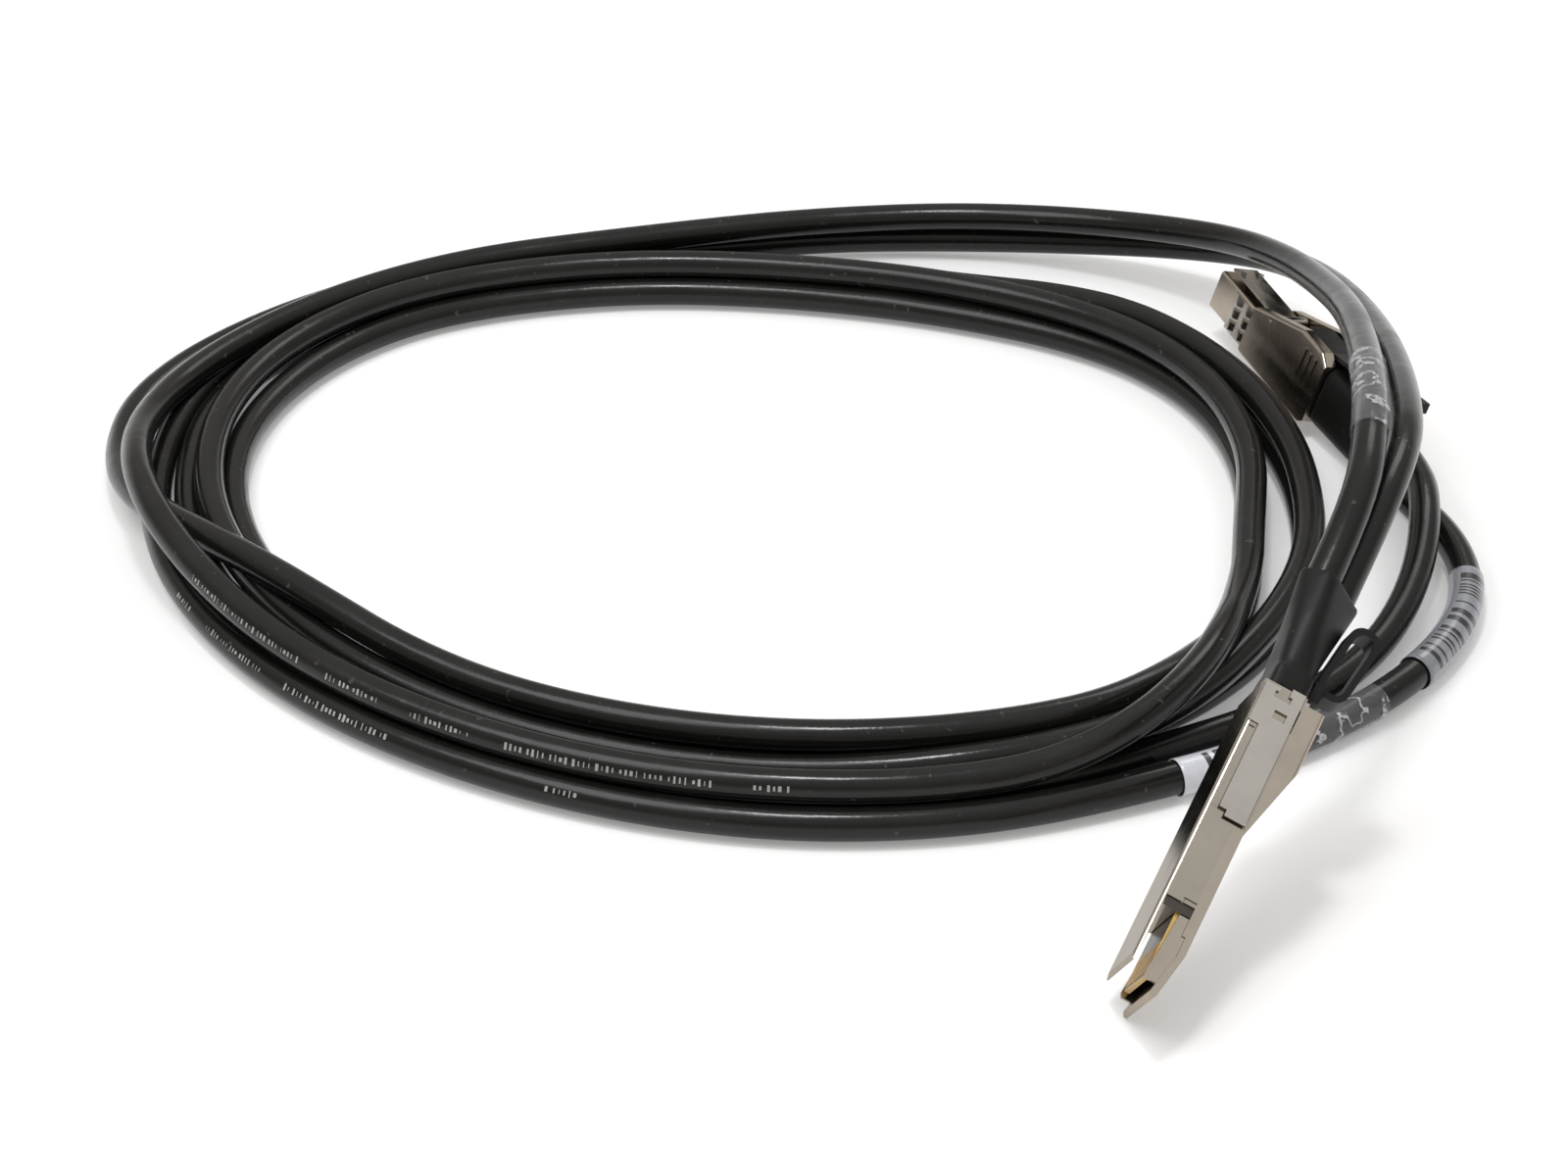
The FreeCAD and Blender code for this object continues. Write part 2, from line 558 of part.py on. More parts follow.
def qsfp_pull_loop():
    """The moulded finger loop on the slide's tongue, leaning away from the boot."""
    half = TONGUE_WIDTH / 2 + 0.8
    root_front = QSFP_LENGTH + TONGUE_REACH - 2.6
    root_low = TONGUE_LOW
    root = box(root_front, root_front + LOOP_ROOT, -half, half, root_low, TONGUE_HIGH + 1.2)
    outer_front = root_front + LOOP_ROOT - 1.2
    section = rounded_section(0, LOOP_LENGTH / 2, LOOP_WIDTH / 2, LOOP_LENGTH, LOOP_WIDTH, LOOP_WIDTH / 2 - 0.3)
    hole = rounded_section(0, LOOP_LENGTH / 2, LOOP_WIDTH / 2, LOOP_LENGTH - 2 * LOOP_BAND,
                           LOOP_WIDTH - 2 * LOOP_BAND, LOOP_WIDTH / 2 - LOOP_BAND - 0.2)
    ring = Part.Face(section).cut(Part.Face(hole)).extrude(V(2 * half - 2, 0, 0))
    ring.rotate(V(0, 0, 0), V(0, 0, 1), -90)
    ring.translate(V(0, half - 1, 0))
    ring.rotate(V(0, 0, 0), V(0, 1, 0), -LOOP_TILT)
    ring.translate(V(outer_front, 0, root_low))
    tongue = box(LUG_FRONT, QSFP_LENGTH + TONGUE_REACH, -TONGUE_WIDTH / 2, TONGUE_WIDTH / 2, TONGUE_LOW, TONGUE_HIGH)
    return root.fuse(ring).cut(tongue).removeSplitter()


def boot_centre_z():
    """Height of the QSFP boot's middle line."""
    return QSFP_CABLE_Z - 0.4


def qsfp_boot():
    """The moulded boot: a collar on the shell's back and a tapered, slightly twisted body round both cables."""
    z = boot_centre_z()
    collar_back = QSFP_LENGTH + QSFP_COLLAR
    end = QSFP_LENGTH + QSFP_BOOT_LENGTH
    first = rounded_section(QSFP_LENGTH, 0, z, QSFP_COLLAR_Y, QSFP_COLLAR_Z, 1.0)
    second = rounded_section(collar_back, 0, z, QSFP_COLLAR_Y, QSFP_COLLAR_Z, 1.0)
    collar = Part.makeLoft([first, second], True, True)
    neck = rounded_section(collar_back, 0, z, QSFP_COLLAR_Y - 0.6, QSFP_COLLAR_Z - 0.6, BOOT_CORNER)
    tip = rounded_section(end, 0, z, QSFP_BOOT_END_Y, QSFP_BOOT_END_Z, BOOT_CORNER, QSFP_BOOT_TWIST)
    body = Part.makeLoft([neck, tip], True, False)
    return collar.fuse(body)


def qsfp_exits():
    """Where the two cables leave the QSFP boot, in the plug's frame."""
    end = QSFP_LENGTH + QSFP_BOOT_LENGTH
    turn = math.radians(QSFP_BOOT_TWIST)
    out = []
    for reach in qsfp_ferrule_places():
        out.append(V(end, reach * math.cos(turn), boot_centre_z() + reach * math.sin(turn)))
    return out


def sas_top_line(x):
    """Height of the mini SAS body's top at a place along it."""
    share = min(1.0, max(0.0, (x - SAS_BODY_FRONT) / (SAS_SLOPE_END - SAS_BODY_FRONT)))
    return SAS_BODY_FRONT_HEIGHT + share * (SAS_BODY_HEIGHT - SAS_BODY_FRONT_HEIGHT)


def sas_ferrules():
    """Two crimp ferrules, one above the other."""
    front = SAS_BODY_BACK - SAS_FERRULE_LENGTH
    return [rod(front, SAS_BODY_BACK, 0, SAS_CABLE_Z + side * CABLE_PITCH / 2, FERRULE_OD) for side in (1, -1)]


def sas_nose_shroud():
    """The open metal nose that goes into the port."""
    half = SAS_NOSE_WIDTH / 2
    outer = box(0, SAS_SHROUD_LENGTH, -half, half, 0, SAS_NOSE_HEIGHT)
    rim = [edge for edge in outer.Edges if abs(edge.Vertexes[0].Y - edge.Vertexes[1].Y) < 0.01
           and abs(edge.Vertexes[0].Z - edge.Vertexes[1].Z) < 0.01]
    outer = outer.makeFillet(0.7, rim)
    wall = SAS_NOSE_WALL
    return outer.cut(box(-1, SAS_SHROUD_LENGTH + 1, -half + wall, half - wall, wall, SAS_NOSE_HEIGHT - wall))


def shroud_room():
    """The space that the nose shroud takes in the body's front wall."""
    half = SAS_NOSE_WIDTH / 2
    return box(-1, SAS_SHROUD_LENGTH, -half, half, 0, SAS_NOSE_HEIGHT)


def latch_low():
    """Underside of the latch plate."""
    return SAS_NOSE_HEIGHT + LATCH_GAP


def pivot_z():
    """Height of the latch's pivot."""
    return latch_low() + BARREL_OD / 2


def sas_bottom_shell():
    """The lower half of the body."""
    half = SAS_BODY_WIDTH / 2
    inside = half - SAS_WALL
    low = -SAS_BODY_DROP
    outline = [(SAS_BODY_FRONT, low + 0.8), (SAS_BODY_FRONT + 1.6, low), (SAS_BODY_BACK - 3, low),
               (SAS_BODY_BACK, low + 1.6), (SAS_BODY_BACK, SAS_SEAM), (SAS_BODY_FRONT, SAS_SEAM)]
    shell = prism(outline, -half, half)
    shell = shell.makeFillet(SAS_EDGE, long_edges(shell, half, low - 0.01, low + 0.01))
    inner_back = SAS_BODY_BACK - SAS_WALL - 1
    shell = shell.cut(box(SAS_SHROUD_LENGTH, inner_back, -inside, inside, low + SAS_WALL, SAS_SEAM + 1))
    shell = shell.cut(shroud_room())
    for ferrule in sas_ferrules():
        shell = shell.cut(ferrule)
    return shell.removeSplitter()


def sas_top_shell():
    """The upper half of the body, sloped, with the channel that the latch and the pull strap lie in."""
    half = SAS_BODY_WIDTH / 2
    inside = half - SAS_WALL
    outline = [(SAS_BODY_FRONT, SAS_SEAM), (SAS_BODY_BACK, SAS_SEAM), (SAS_BODY_BACK, SAS_BODY_HEIGHT - 2),
               (SAS_BODY_BACK - 3, SAS_BODY_HEIGHT), (SAS_SLOPE_END, SAS_BODY_HEIGHT),
               (SAS_BODY_FRONT + 0.8, SAS_BODY_FRONT_HEIGHT), (SAS_BODY_FRONT, SAS_BODY_FRONT_HEIGHT - 0.8)]
    shell = prism(outline, -half, half)
    shell = shell.makeFillet(SAS_EDGE, long_edges(shell, half, SAS_BODY_FRONT_HEIGHT - 0.01, SAS_BODY_HEIGHT + 0.01))
    for x in SAS_RIB_PLACES:
        rib = box(x, x + SAS_RIB_WIDTH, half - 0.2, half + SAS_RIB_RISE, SAS_SEAM + 1.2, SAS_BODY_HEIGHT - 2.6)
        shell = shell.fuse(both_sides(rib))
    channel_floor = latch_low() - 0.7
    ceiling = channel_floor - CHANNEL_WEB
    strap_floor = SAS_BODY_HEIGHT - TAB_CHANNEL
    inner_back = SAS_BODY_BACK - SAS_WALL - 1
    hollow = [(SAS_SHROUD_LENGTH, SAS_SEAM - 1), (inner_back, SAS_SEAM - 1), (inner_back, strap_floor - SAS_WALL),
              (SAS_SLOPE_END + 3.1, strap_floor - SAS_WALL), (LATCH_BACK + 4.0, ceiling),
              (SAS_SHROUD_LENGTH, ceiling)]
    shell = shell.cut(prism(hollow, -inside, inside))
    channel_half = LATCH_WIDTH / 2 + CHANNEL_CLEARANCE
    channel = [(SAS_BODY_FRONT - 1, channel_floor), (LATCH_BACK + 3.5, channel_floor),
               (SAS_SLOPE_END + 2.5, strap_floor), (SAS_BODY_BACK + 1, strap_floor),
               (SAS_BODY_BACK + 1, SAS_BODY_HEIGHT + 1), (SAS_BODY_FRONT - 1, SAS_BODY_HEIGHT + 1)]
    shell = shell.cut(prism(channel, -channel_half, channel_half))
    shell = shell.cut(shroud_room())
    pin_length = SAS_BODY_WIDTH + 1
    shell = shell.cut(Part.makeCylinder(PIVOT_OD / 2, pin_length, V(PIVOT_X, -pin_length / 2, pivot_z()), V(0, 1, 0)))
    for ferrule in sas_ferrules():
        shell = shell.cut(ferrule)
    return shell.removeSplitter()


def sas_latch_pin():
    """The pin that the latch turns on, held in the channel's two walls."""
    length = SAS_BODY_WIDTH - 1
    return Part.makeCylinder(PIVOT_OD / 2, length, V(PIVOT_X, -length / 2, pivot_z()), V(0, 1, 0))


def sas_latch():
    """The latch plate with two hooks at its nose and a rolled barrel on the pin."""
    half = LATCH_WIDTH / 2
    low = latch_low()
    plate = box(LATCH_FRONT, LATCH_BACK, -half, half, low, low + LATCH_SHEET)
    top = low + LATCH_SHEET
    hook_back = HOOK_FRONT + HOOK_LENGTH
    hook = prism([(HOOK_FRONT, top - 0.1), (hook_back, top - 0.1), (hook_back, top + HOOK_RISE)],
                 half - HOOK_WIDTH, half)
    barrel = Part.makeCylinder(BARREL_OD / 2, LATCH_WIDTH, V(PIVOT_X, -half, pivot_z()), V(0, 1, 0))
    bore_start = V(PIVOT_X, -half - 1, pivot_z())
    bore = Part.makeCylinder(PIVOT_OD / 2 + PIVOT_CLEARANCE, LATCH_WIDTH + 2, bore_start, V(0, 1, 0))
    return plate.fuse(both_sides(hook) + [barrel]).cut(bore).removeSplitter()


def sas_pull_tab():
    """The pull strap: a wedge nose behind the latch, a strap over the body and a ribbed grip at its end."""
    half = TAB_WIDTH / 2
    strap_low = SAS_BODY_HEIGHT - TAB_CHANNEL + 0.2
    bend_low = latch_low() + LATCH_SHEET + 0.4
    lift = SAS_BODY_BACK - 4
    slope = TAB_RISE / (TAB_BACK - lift)
    end_low = strap_low + TAB_RISE
    outline = [(TAB_FRONT, bend_low), (SAS_SLOPE_END - 1.2, strap_low), (lift, strap_low), (TAB_BACK, end_low),
               (TAB_BACK, end_low + TAB_STRAP), (lift, strap_low + TAB_STRAP),
               (SAS_SLOPE_END - 1.8, strap_low + TAB_STRAP), (TAB_FRONT, bend_low + TAB_STRAP + 0.4)]
    strap = prism(outline, -half, half)
    grip_front = TAB_BACK - TAB_GRIP
    swell = (TAB_GRIP_HEIGHT - TAB_STRAP) / 2
    grip_low = end_low - slope * TAB_GRIP - swell
    grip = prism([(grip_front, grip_low), (TAB_BACK + 1, end_low - swell),
                  (TAB_BACK + 1, end_low + TAB_STRAP + swell), (grip_front, grip_low + TAB_GRIP_HEIGHT)],
                 -half - 1, half + 1)
    return strap.fuse(grip).removeSplitter()


def sas_emi_gasket():
    """The sheet band of spring fingers round the nose, open on top under the latch."""
    half = SAS_NOSE_WIDTH / 2
    sheet = GASKET_SHEET
    band = box(GASKET_FRONT, GASKET_BACK, -half - sheet, half + sheet, -sheet, SAS_NOSE_HEIGHT - 0.7)
    band = band.cut(box(GASKET_FRONT - 1, GASKET_BACK + 1, -half, half, 0, SAS_NOSE_HEIGHT + 1))
    row_length = (GASKET_BACK - GASKET_FRONT) / FINGER_ROWS
    fingers = []
    for row in range(FINGER_ROWS):
        x0 = GASKET_FRONT + row * row_length + 0.5
        x1 = x0 + row_length - 1.0
        crest = x0 + 0.62 * (x1 - x0)
        for index in range(FINGER_COUNT):
            z = (index + 0.5) * SAS_NOSE_HEIGHT / FINGER_COUNT
            z0 = max(0.1, z - FINGER_WIDTH / 2)
            z1 = min(SAS_NOSE_HEIGHT - 0.8, z + FINGER_WIDTH / 2)
            side = plan_prism([(x0, half), (x1, half), (crest, half + sheet + FINGER_RISE)], z0, z1)
            fingers += both_sides(side)
            y = (index - (FINGER_COUNT - 1) / 2) * SAS_NOSE_WIDTH / FINGER_COUNT
            below = [(x0, 0), (x1, 0), (crest, -sheet - FINGER_RISE)]
            fingers.append(prism(below, y - FINGER_WIDTH / 2, y + FINGER_WIDTH / 2))
    return band.fuse(fingers).removeSplitter()


def sas_paddle_cards():
    """The upper and the lower contact card."""
    half = SAS_CARD_WIDTH / 2
    return [box(SAS_CARD_TIP, SAS_CARD_BACK, -half, half, z - CARD_THICKNESS / 2, z + CARD_THICKNESS / 2)
            for z in SAS_CARD_LEVELS]


def sas_card_carrier():
    """The moulded block that holds both cards in the shroud."""
    half = SAS_NOSE_WIDTH / 2 - SAS_NOSE_WALL - 0.1
    front = SAS_SHROUD_LENGTH - 8
    block = box(front, SAS_SHROUD_LENGTH - 1, -half, half, SAS_NOSE_WALL + 0.1, SAS_NOSE_HEIGHT - SAS_NOSE_WALL - 0.1)
    for card in sas_paddle_cards():
        block = block.cut(card)
    return block


def sas_contact_pads():
    """Gold pads of both mini SAS cards."""
    out = []
    for z in SAS_CARD_LEVELS:
        out += pads(SAS_CARD_TIP, z, SAS_PAD_COUNT, SAS_PAD_PITCH, SAS_PAD_WIDTH, SAS_PAD_LENGTH)
    return out


def sas_cores():
    """Eight shielded pairs from the cards' backs to the ferrules."""
    back = SAS_BODY_BACK - SAS_FERRULE_LENGTH
    cores = []
    for level, side in zip(SAS_CARD_LEVELS, (-1, 1)):
        for y in (-2.7, -0.9, 0.9, 2.7):
            start = V(SAS_CARD_BACK + 0.1, y, level)
            end = V(back, y * 0.9, SAS_CABLE_Z + side * CABLE_PITCH / 2)
            core = Part.makeCylinder(CORE_OD / 2, (end - start).Length + 2, start, end - start)
            core = core.common(box(SAS_CARD_BACK + 0.1, back, -9, 9, -2, 20))
            cores.append(core)
    return cores


def sas_boot():
    """The moulded boot round the two stacked cables."""
    end = SAS_BODY_BACK + SAS_BOOT_LENGTH
    first = rounded_section(SAS_BODY_BACK, 0, SAS_CABLE_Z, SAS_BOOT_Y, SAS_BOOT_Z, BOOT_CORNER)
    tip = rounded_section(end, 0, SAS_CABLE_Z, SAS_BOOT_END_Y, SAS_BOOT_END_Z, BOOT_CORNER)
    return Part.makeLoft([first, tip], True, False)


def sas_exits():
    """Where the two cables leave the mini SAS boot, in the plug's frame."""
    end = SAS_BODY_BACK + SAS_BOOT_LENGTH
    return [V(end, 0, SAS_CABLE_Z + side * CABLE_PITCH / 2) for side in (1, -1)]


def lie(nose, heading, pitch, roll):
    """The place of a plug whose nose, heading, pitch and roll are given."""
    h = math.radians(heading)
    p = math.radians(pitch)
    r = math.radians(roll)
    ex = V(math.cos(p) * math.cos(h), math.cos(p) * math.sin(h), math.sin(p))
    up = V(-math.sin(p) * math.cos(h), -math.sin(p) * math.sin(h), math.cos(p))
    left = up.cross(ex)
    ey = left * math.cos(r) + up * math.sin(r)
    ez = ex.cross(ey)
    matrix = FreeCAD.Matrix(ex.x, ey.x, ez.x, nose.x, ex.y, ey.y, ez.y, nose.y, ex.z, ey.z, ez.z, nose.z, 0, 0, 0, 1)
    return FreeCAD.Placement(matrix)


def solids(shape):
    """One solid, or several kept together as a group."""
    return Part.makeCompound(shape) if isinstance(shape, list) else shape


def corner_range(shapes):
    """Lowest and highest corner of some shapes together."""
    boxes = [shape.optimalBoundingBox(True, False) for shape in shapes]
    low = V(min(b.XMin for b in boxes), min(b.YMin for b in boxes), min(b.ZMin for b in boxes))
    high = V(max(b.XMax for b in boxes), max(b.YMax for b in boxes), max(b.ZMax for b in boxes))
    return low, high


def lay_down(pieces, place):
    """Lay a plug's pieces down and raise them until the lowest corner is on the table."""
    laid = {}
    for name, shape in pieces.items():
        copy = solids(shape).copy()
        copy.Placement = place
        laid[name] = copy
    low, high = corner_range(laid.values())
    rise = V(0, 0, -low.z)
    for shape in laid.values():
        shape.translate(rise)
    place.Base = place.Base + rise
    return laid, place


def cable_end(place, exit_point, run, route):
    """A cable's route on the table: out of its boot along the plug's line, then through the chosen points."""
    start = place.multVec(exit_point)
    ahead = place.multVec(exit_point + V(run, 0, 0))
    return cable([start, ahead] + route)


QSFP_PIECES = {
    "qsfp_cover_shell": qsfp_cover_shell(),
    "qsfp_base_shell": qsfp_base_shell(),
    "qsfp_screws": qsfp_screws(),
    "qsfp_paddle_card": qsfp_paddle_card(),
    "qsfp_contact_pads": qsfp_contact_pads(),
    "qsfp_wire_pairs": qsfp_cores(),
    "qsfp_ferrules": qsfp_ferrules(),
    "qsfp_release_slide": qsfp_release_slide(),
    "qsfp_return_springs": qsfp_return_springs(),
    "qsfp_pull_loop": qsfp_pull_loop(),
    "qsfp_boot": qsfp_boot(),
}
SAS_PIECES = {
    "sas_nose_shroud": sas_nose_shroud(),
    "sas_emi_gasket": sas_emi_gasket(),
    "sas_bottom_shell": sas_bottom_shell(),
    "sas_top_shell": sas_top_shell(),
    "sas_latch_pin": sas_latch_pin(),
    "sas_latch": sas_latch(),
    "sas_pull_tab": sas_pull_tab(),
    "sas_paddle_cards": sas_paddle_cards(),
    "sas_card_carrier": sas_card_carrier(),
    "sas_contact_pads": sas_contact_pads(),
    "sas_wire_pairs": sas_cores(),
    "sas_ferrules": sas_ferrules(),
    "sas_boot": sas_boot(),
}

qsfp_laid, qsfp_place = lay_down(QSFP_PIECES, lie(QSFP_NOSE, QSFP_HEADING, QSFP_PITCH, QSFP_ROLL))
sas_laid, sas_place = lay_down(SAS_PIECES, lie(SAS_NOSE, SAS_HEADING, SAS_PITCH, SAS_ROLL))

qsfp_starts = qsfp_exits()
sas_starts = sas_exits()
qsfp_cable_a, qsfp_bends_a = cable_end(qsfp_place, qsfp_starts[0], QSFP_EXIT_RUN, QSFP_ROUTE_A)
qsfp_cable_b, qsfp_bends_b = cable_end(qsfp_place, qsfp_starts[1], QSFP_EXIT_RUN, QSFP_ROUTE_B)
sas_cable_a, sas_bends_a = cable_end(sas_place, sas_starts[0], SAS_EXIT_RUN, SAS_ROUTE_A)
sas_cable_b, sas_bends_b = cable_end(sas_place, sas_starts[1], SAS_EXIT_RUN, SAS_ROUTE_B)
CORDS = {
    "cable_coil": cable_coil(),
    "qsfp_cable_a": qsfp_cable_a,
    "qsfp_cable_b": qsfp_cable_b,
    "sas_cable_a": sas_cable_a,
    "sas_cable_b": sas_cable_b,
    "barcode_label": sleeve(sas_bends_b[BARCODE_LABEL_BEND]),
    "label_tape": sleeve(sas_bends_b[LABEL_TAPE_BEND]),
    "front_label": sleeve(sas_bends_b[FRONT_LABEL_BEND]),
    "clear_tape": sleeve(qsfp_bends_a[CLEAR_TAPE_BEND]),
}

nodes = dict(qsfp_laid)
nodes.update(sas_laid)
plug_low, plug_high = corner_range(nodes.values())
origin = V((plug_low.x + plug_high.x) / 2, (plug_low.y + plug_high.y) / 2, 0)
nodes.update(CORDS)

os.makedirs("parts", exist_ok=True)
for name, shape in nodes.items():
    shape.translate(origin * -1)
    shape.exportStep("parts/" + name + ".step")
    print("%-20s solids %d valid %s volume %.1f z %.2f" % (
        name, len(shape.Solids), shape.isValid(), shape.Volume, shape.optimalBoundingBox(True, False).ZMin))

# Places and directions that describe the joints and the two noses
for label, place, points in (("qsfp", qsfp_place, [V(0, 0, QSFP_CARD_Z)]),
                             ("sas", sas_place, [V(0, 0, SAS_NOSE_HEIGHT / 2), V(PIVOT_X, 0, pivot_z())])):
    rows = [place.multVec(point) - origin for point in points]
    axes = [place.Rotation.multVec(axis) for axis in (V(1, 0, 0), V(0, 1, 0), V(0, 0, 1))]
    print(label, "points", [tuple(round(c, 4) for c in row) for row in rows])
    print(label, "axes", [tuple(round(c, 6) for c in axis) for axis in axes])
print("origin", tuple(round(c, 3) for c in origin))
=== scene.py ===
"""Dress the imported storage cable: two plugs, two coiled cords, their labels, a floor and studio light."""

import json
import logging
import math
from dataclasses import dataclass, field
from enum import Enum
from typing import Dict, List, Sequence, Tuple, Union

import bmesh
import bpy
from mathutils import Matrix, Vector


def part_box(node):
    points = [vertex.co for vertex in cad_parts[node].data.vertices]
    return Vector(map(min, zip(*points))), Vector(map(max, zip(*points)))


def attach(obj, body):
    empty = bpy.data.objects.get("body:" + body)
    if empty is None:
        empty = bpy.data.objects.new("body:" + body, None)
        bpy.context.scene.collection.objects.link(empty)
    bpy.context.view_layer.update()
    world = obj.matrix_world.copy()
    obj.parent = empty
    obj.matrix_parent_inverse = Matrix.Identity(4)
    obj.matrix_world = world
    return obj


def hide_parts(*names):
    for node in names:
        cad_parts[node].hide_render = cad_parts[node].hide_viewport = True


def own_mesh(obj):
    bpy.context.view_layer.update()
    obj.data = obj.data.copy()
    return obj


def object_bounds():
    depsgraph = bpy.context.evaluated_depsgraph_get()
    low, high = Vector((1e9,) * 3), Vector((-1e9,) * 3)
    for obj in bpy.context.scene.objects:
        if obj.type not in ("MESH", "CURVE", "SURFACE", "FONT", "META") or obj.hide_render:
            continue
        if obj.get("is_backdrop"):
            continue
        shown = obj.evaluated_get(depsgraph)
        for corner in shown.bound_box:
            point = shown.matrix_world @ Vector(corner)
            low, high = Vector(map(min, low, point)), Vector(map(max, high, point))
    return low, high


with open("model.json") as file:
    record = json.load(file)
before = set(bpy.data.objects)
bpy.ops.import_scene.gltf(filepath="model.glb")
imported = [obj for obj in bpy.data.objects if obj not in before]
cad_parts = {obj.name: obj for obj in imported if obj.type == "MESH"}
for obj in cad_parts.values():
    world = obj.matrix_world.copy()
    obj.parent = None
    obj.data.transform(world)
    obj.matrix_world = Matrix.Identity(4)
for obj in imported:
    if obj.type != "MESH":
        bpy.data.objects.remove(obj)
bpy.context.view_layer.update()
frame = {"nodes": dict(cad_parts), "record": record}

LOG = logging.getLogger("storage_cable")
MM = 0.001
CABLE_OD = 6.8
CABLE_PITCH = 7.5
MERGE_GAP = 0.002
NOISE_RANGE = (0.3, 0.7)
DUST_COLOUR = (0.42, 0.41, 0.38, 1.0)
Colour = Tuple[float, float, float]
Point = Tuple[float, float, float]


class Body(str, Enum):
    """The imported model's body that the pieces made here ride on."""

    CABLE_AND_PLUGS = "cable_and_plugs"


class Slot(str, Enum):
    """Material slots of the record."""

    BRIGHT_SHELL = "bright_shell"
    SATIN_SHELL = "satin_shell"
    STEEL = "steel"
    CARD = "card"
    GOLD = "gold"
    WIRE = "wire"
    FERRULE = "ferrule"
    MOULDING = "black_moulding"
    JACKET = "jacket"
    LABEL = "label"
    FILM = "clear_film"


def place_in_scene(name: str, data: bpy.types.ID) -> bpy.types.Object:
    """Make an object and link it to the scene.

    Args:
        name: The object's name.
        data: Its mesh, curve, lamp or camera.

    Returns:
        The object.
    """
    piece = bpy.data.objects.new(name, data)
    bpy.context.scene.collection.objects.link(piece)
    return piece


def evaluated_mesh(piece: bpy.types.Object) -> bpy.types.Mesh:
    """Make a plain mesh of an object as it is evaluated."""
    return bpy.data.meshes.new_from_object(piece.evaluated_get(bpy.context.evaluated_depsgraph_get()))


def merged_copy(node: str) -> bpy.types.Mesh:
    """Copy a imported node's mesh and merge the points that its faces share.

    Args:
        node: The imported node.

    Returns:
        The copy.
    """
    data = frame["nodes"][node].data.copy()
    mesh = bmesh.new()
    mesh.from_mesh(data)
    bmesh.ops.remove_doubles(mesh, verts=mesh.verts, dist=MERGE_GAP * MM)
    mesh.to_mesh(data)
    mesh.free()
    return data


class NodeCanvas:
    """A small helper that adds and joins nodes."""

    def __init__(self, tree: bpy.types.NodeTree) -> None:
        """Keep the tree that nodes are added to."""
        self.tree = tree

    def add(self, kind: str, values: Dict[object, object] = None, **settings: object) -> bpy.types.Node:
        """Add a node.

        Args:
            kind: Blender's node type name.
            values: Input socket names or numbers, each with a value or a socket to join.
            settings: Properties of the node itself.

        Returns:
            The new node.
        """
        node = self.tree.nodes.new(kind)
        for name, value in settings.items():
            setattr(node, name, value)
        self.fill(node, values or {})
        return node

    def fill(self, node: bpy.types.Node, values: Dict[object, object]) -> None:
        """Set some of a node's inputs, or join other sockets to them.

        Args:
            node: The node.
            values: Input socket names or numbers, each with a value or a socket to join.
        """
        for key, value in values.items():
            if isinstance(value, bpy.types.NodeSocket):
                self.tree.links.new(value, node.inputs[key])
            else:
                node.inputs[key].default_value = value

    def ramp(self, source: object, low: float, high: float, to_low: float = 0.0,
             to_high: float = 1.0) -> object:
        """Map a value from one range to another, held inside it.

        Args:
            source: Socket that is read.
            low: Value that maps to to_low.
            high: Value that maps to to_high.
            to_low: Lowest result.
            to_high: Highest result.

        Returns:
            The result socket.
        """
        node = self.add("ShaderNodeMapRange", {"Value": source, "From Min": low, "From Max": high,
                                               "To Min": to_low, "To Max": to_high})
        return node.outputs["Result"]

    def math(self, operation: str, first: object, second: object = 0.0) -> object:
        """Do one sum on one or two values and return its socket."""
        return self.add("ShaderNodeMath", {0: first, 1: second}, operation=operation).outputs[0]

    def mix(self, share: object, first: object, second: object) -> object:
        """Mix two colours by the second one's share and return the colour socket."""
        return self.add("ShaderNodeMix", {0: share, 6: first, 7: second}, data_type="RGBA").outputs[2]


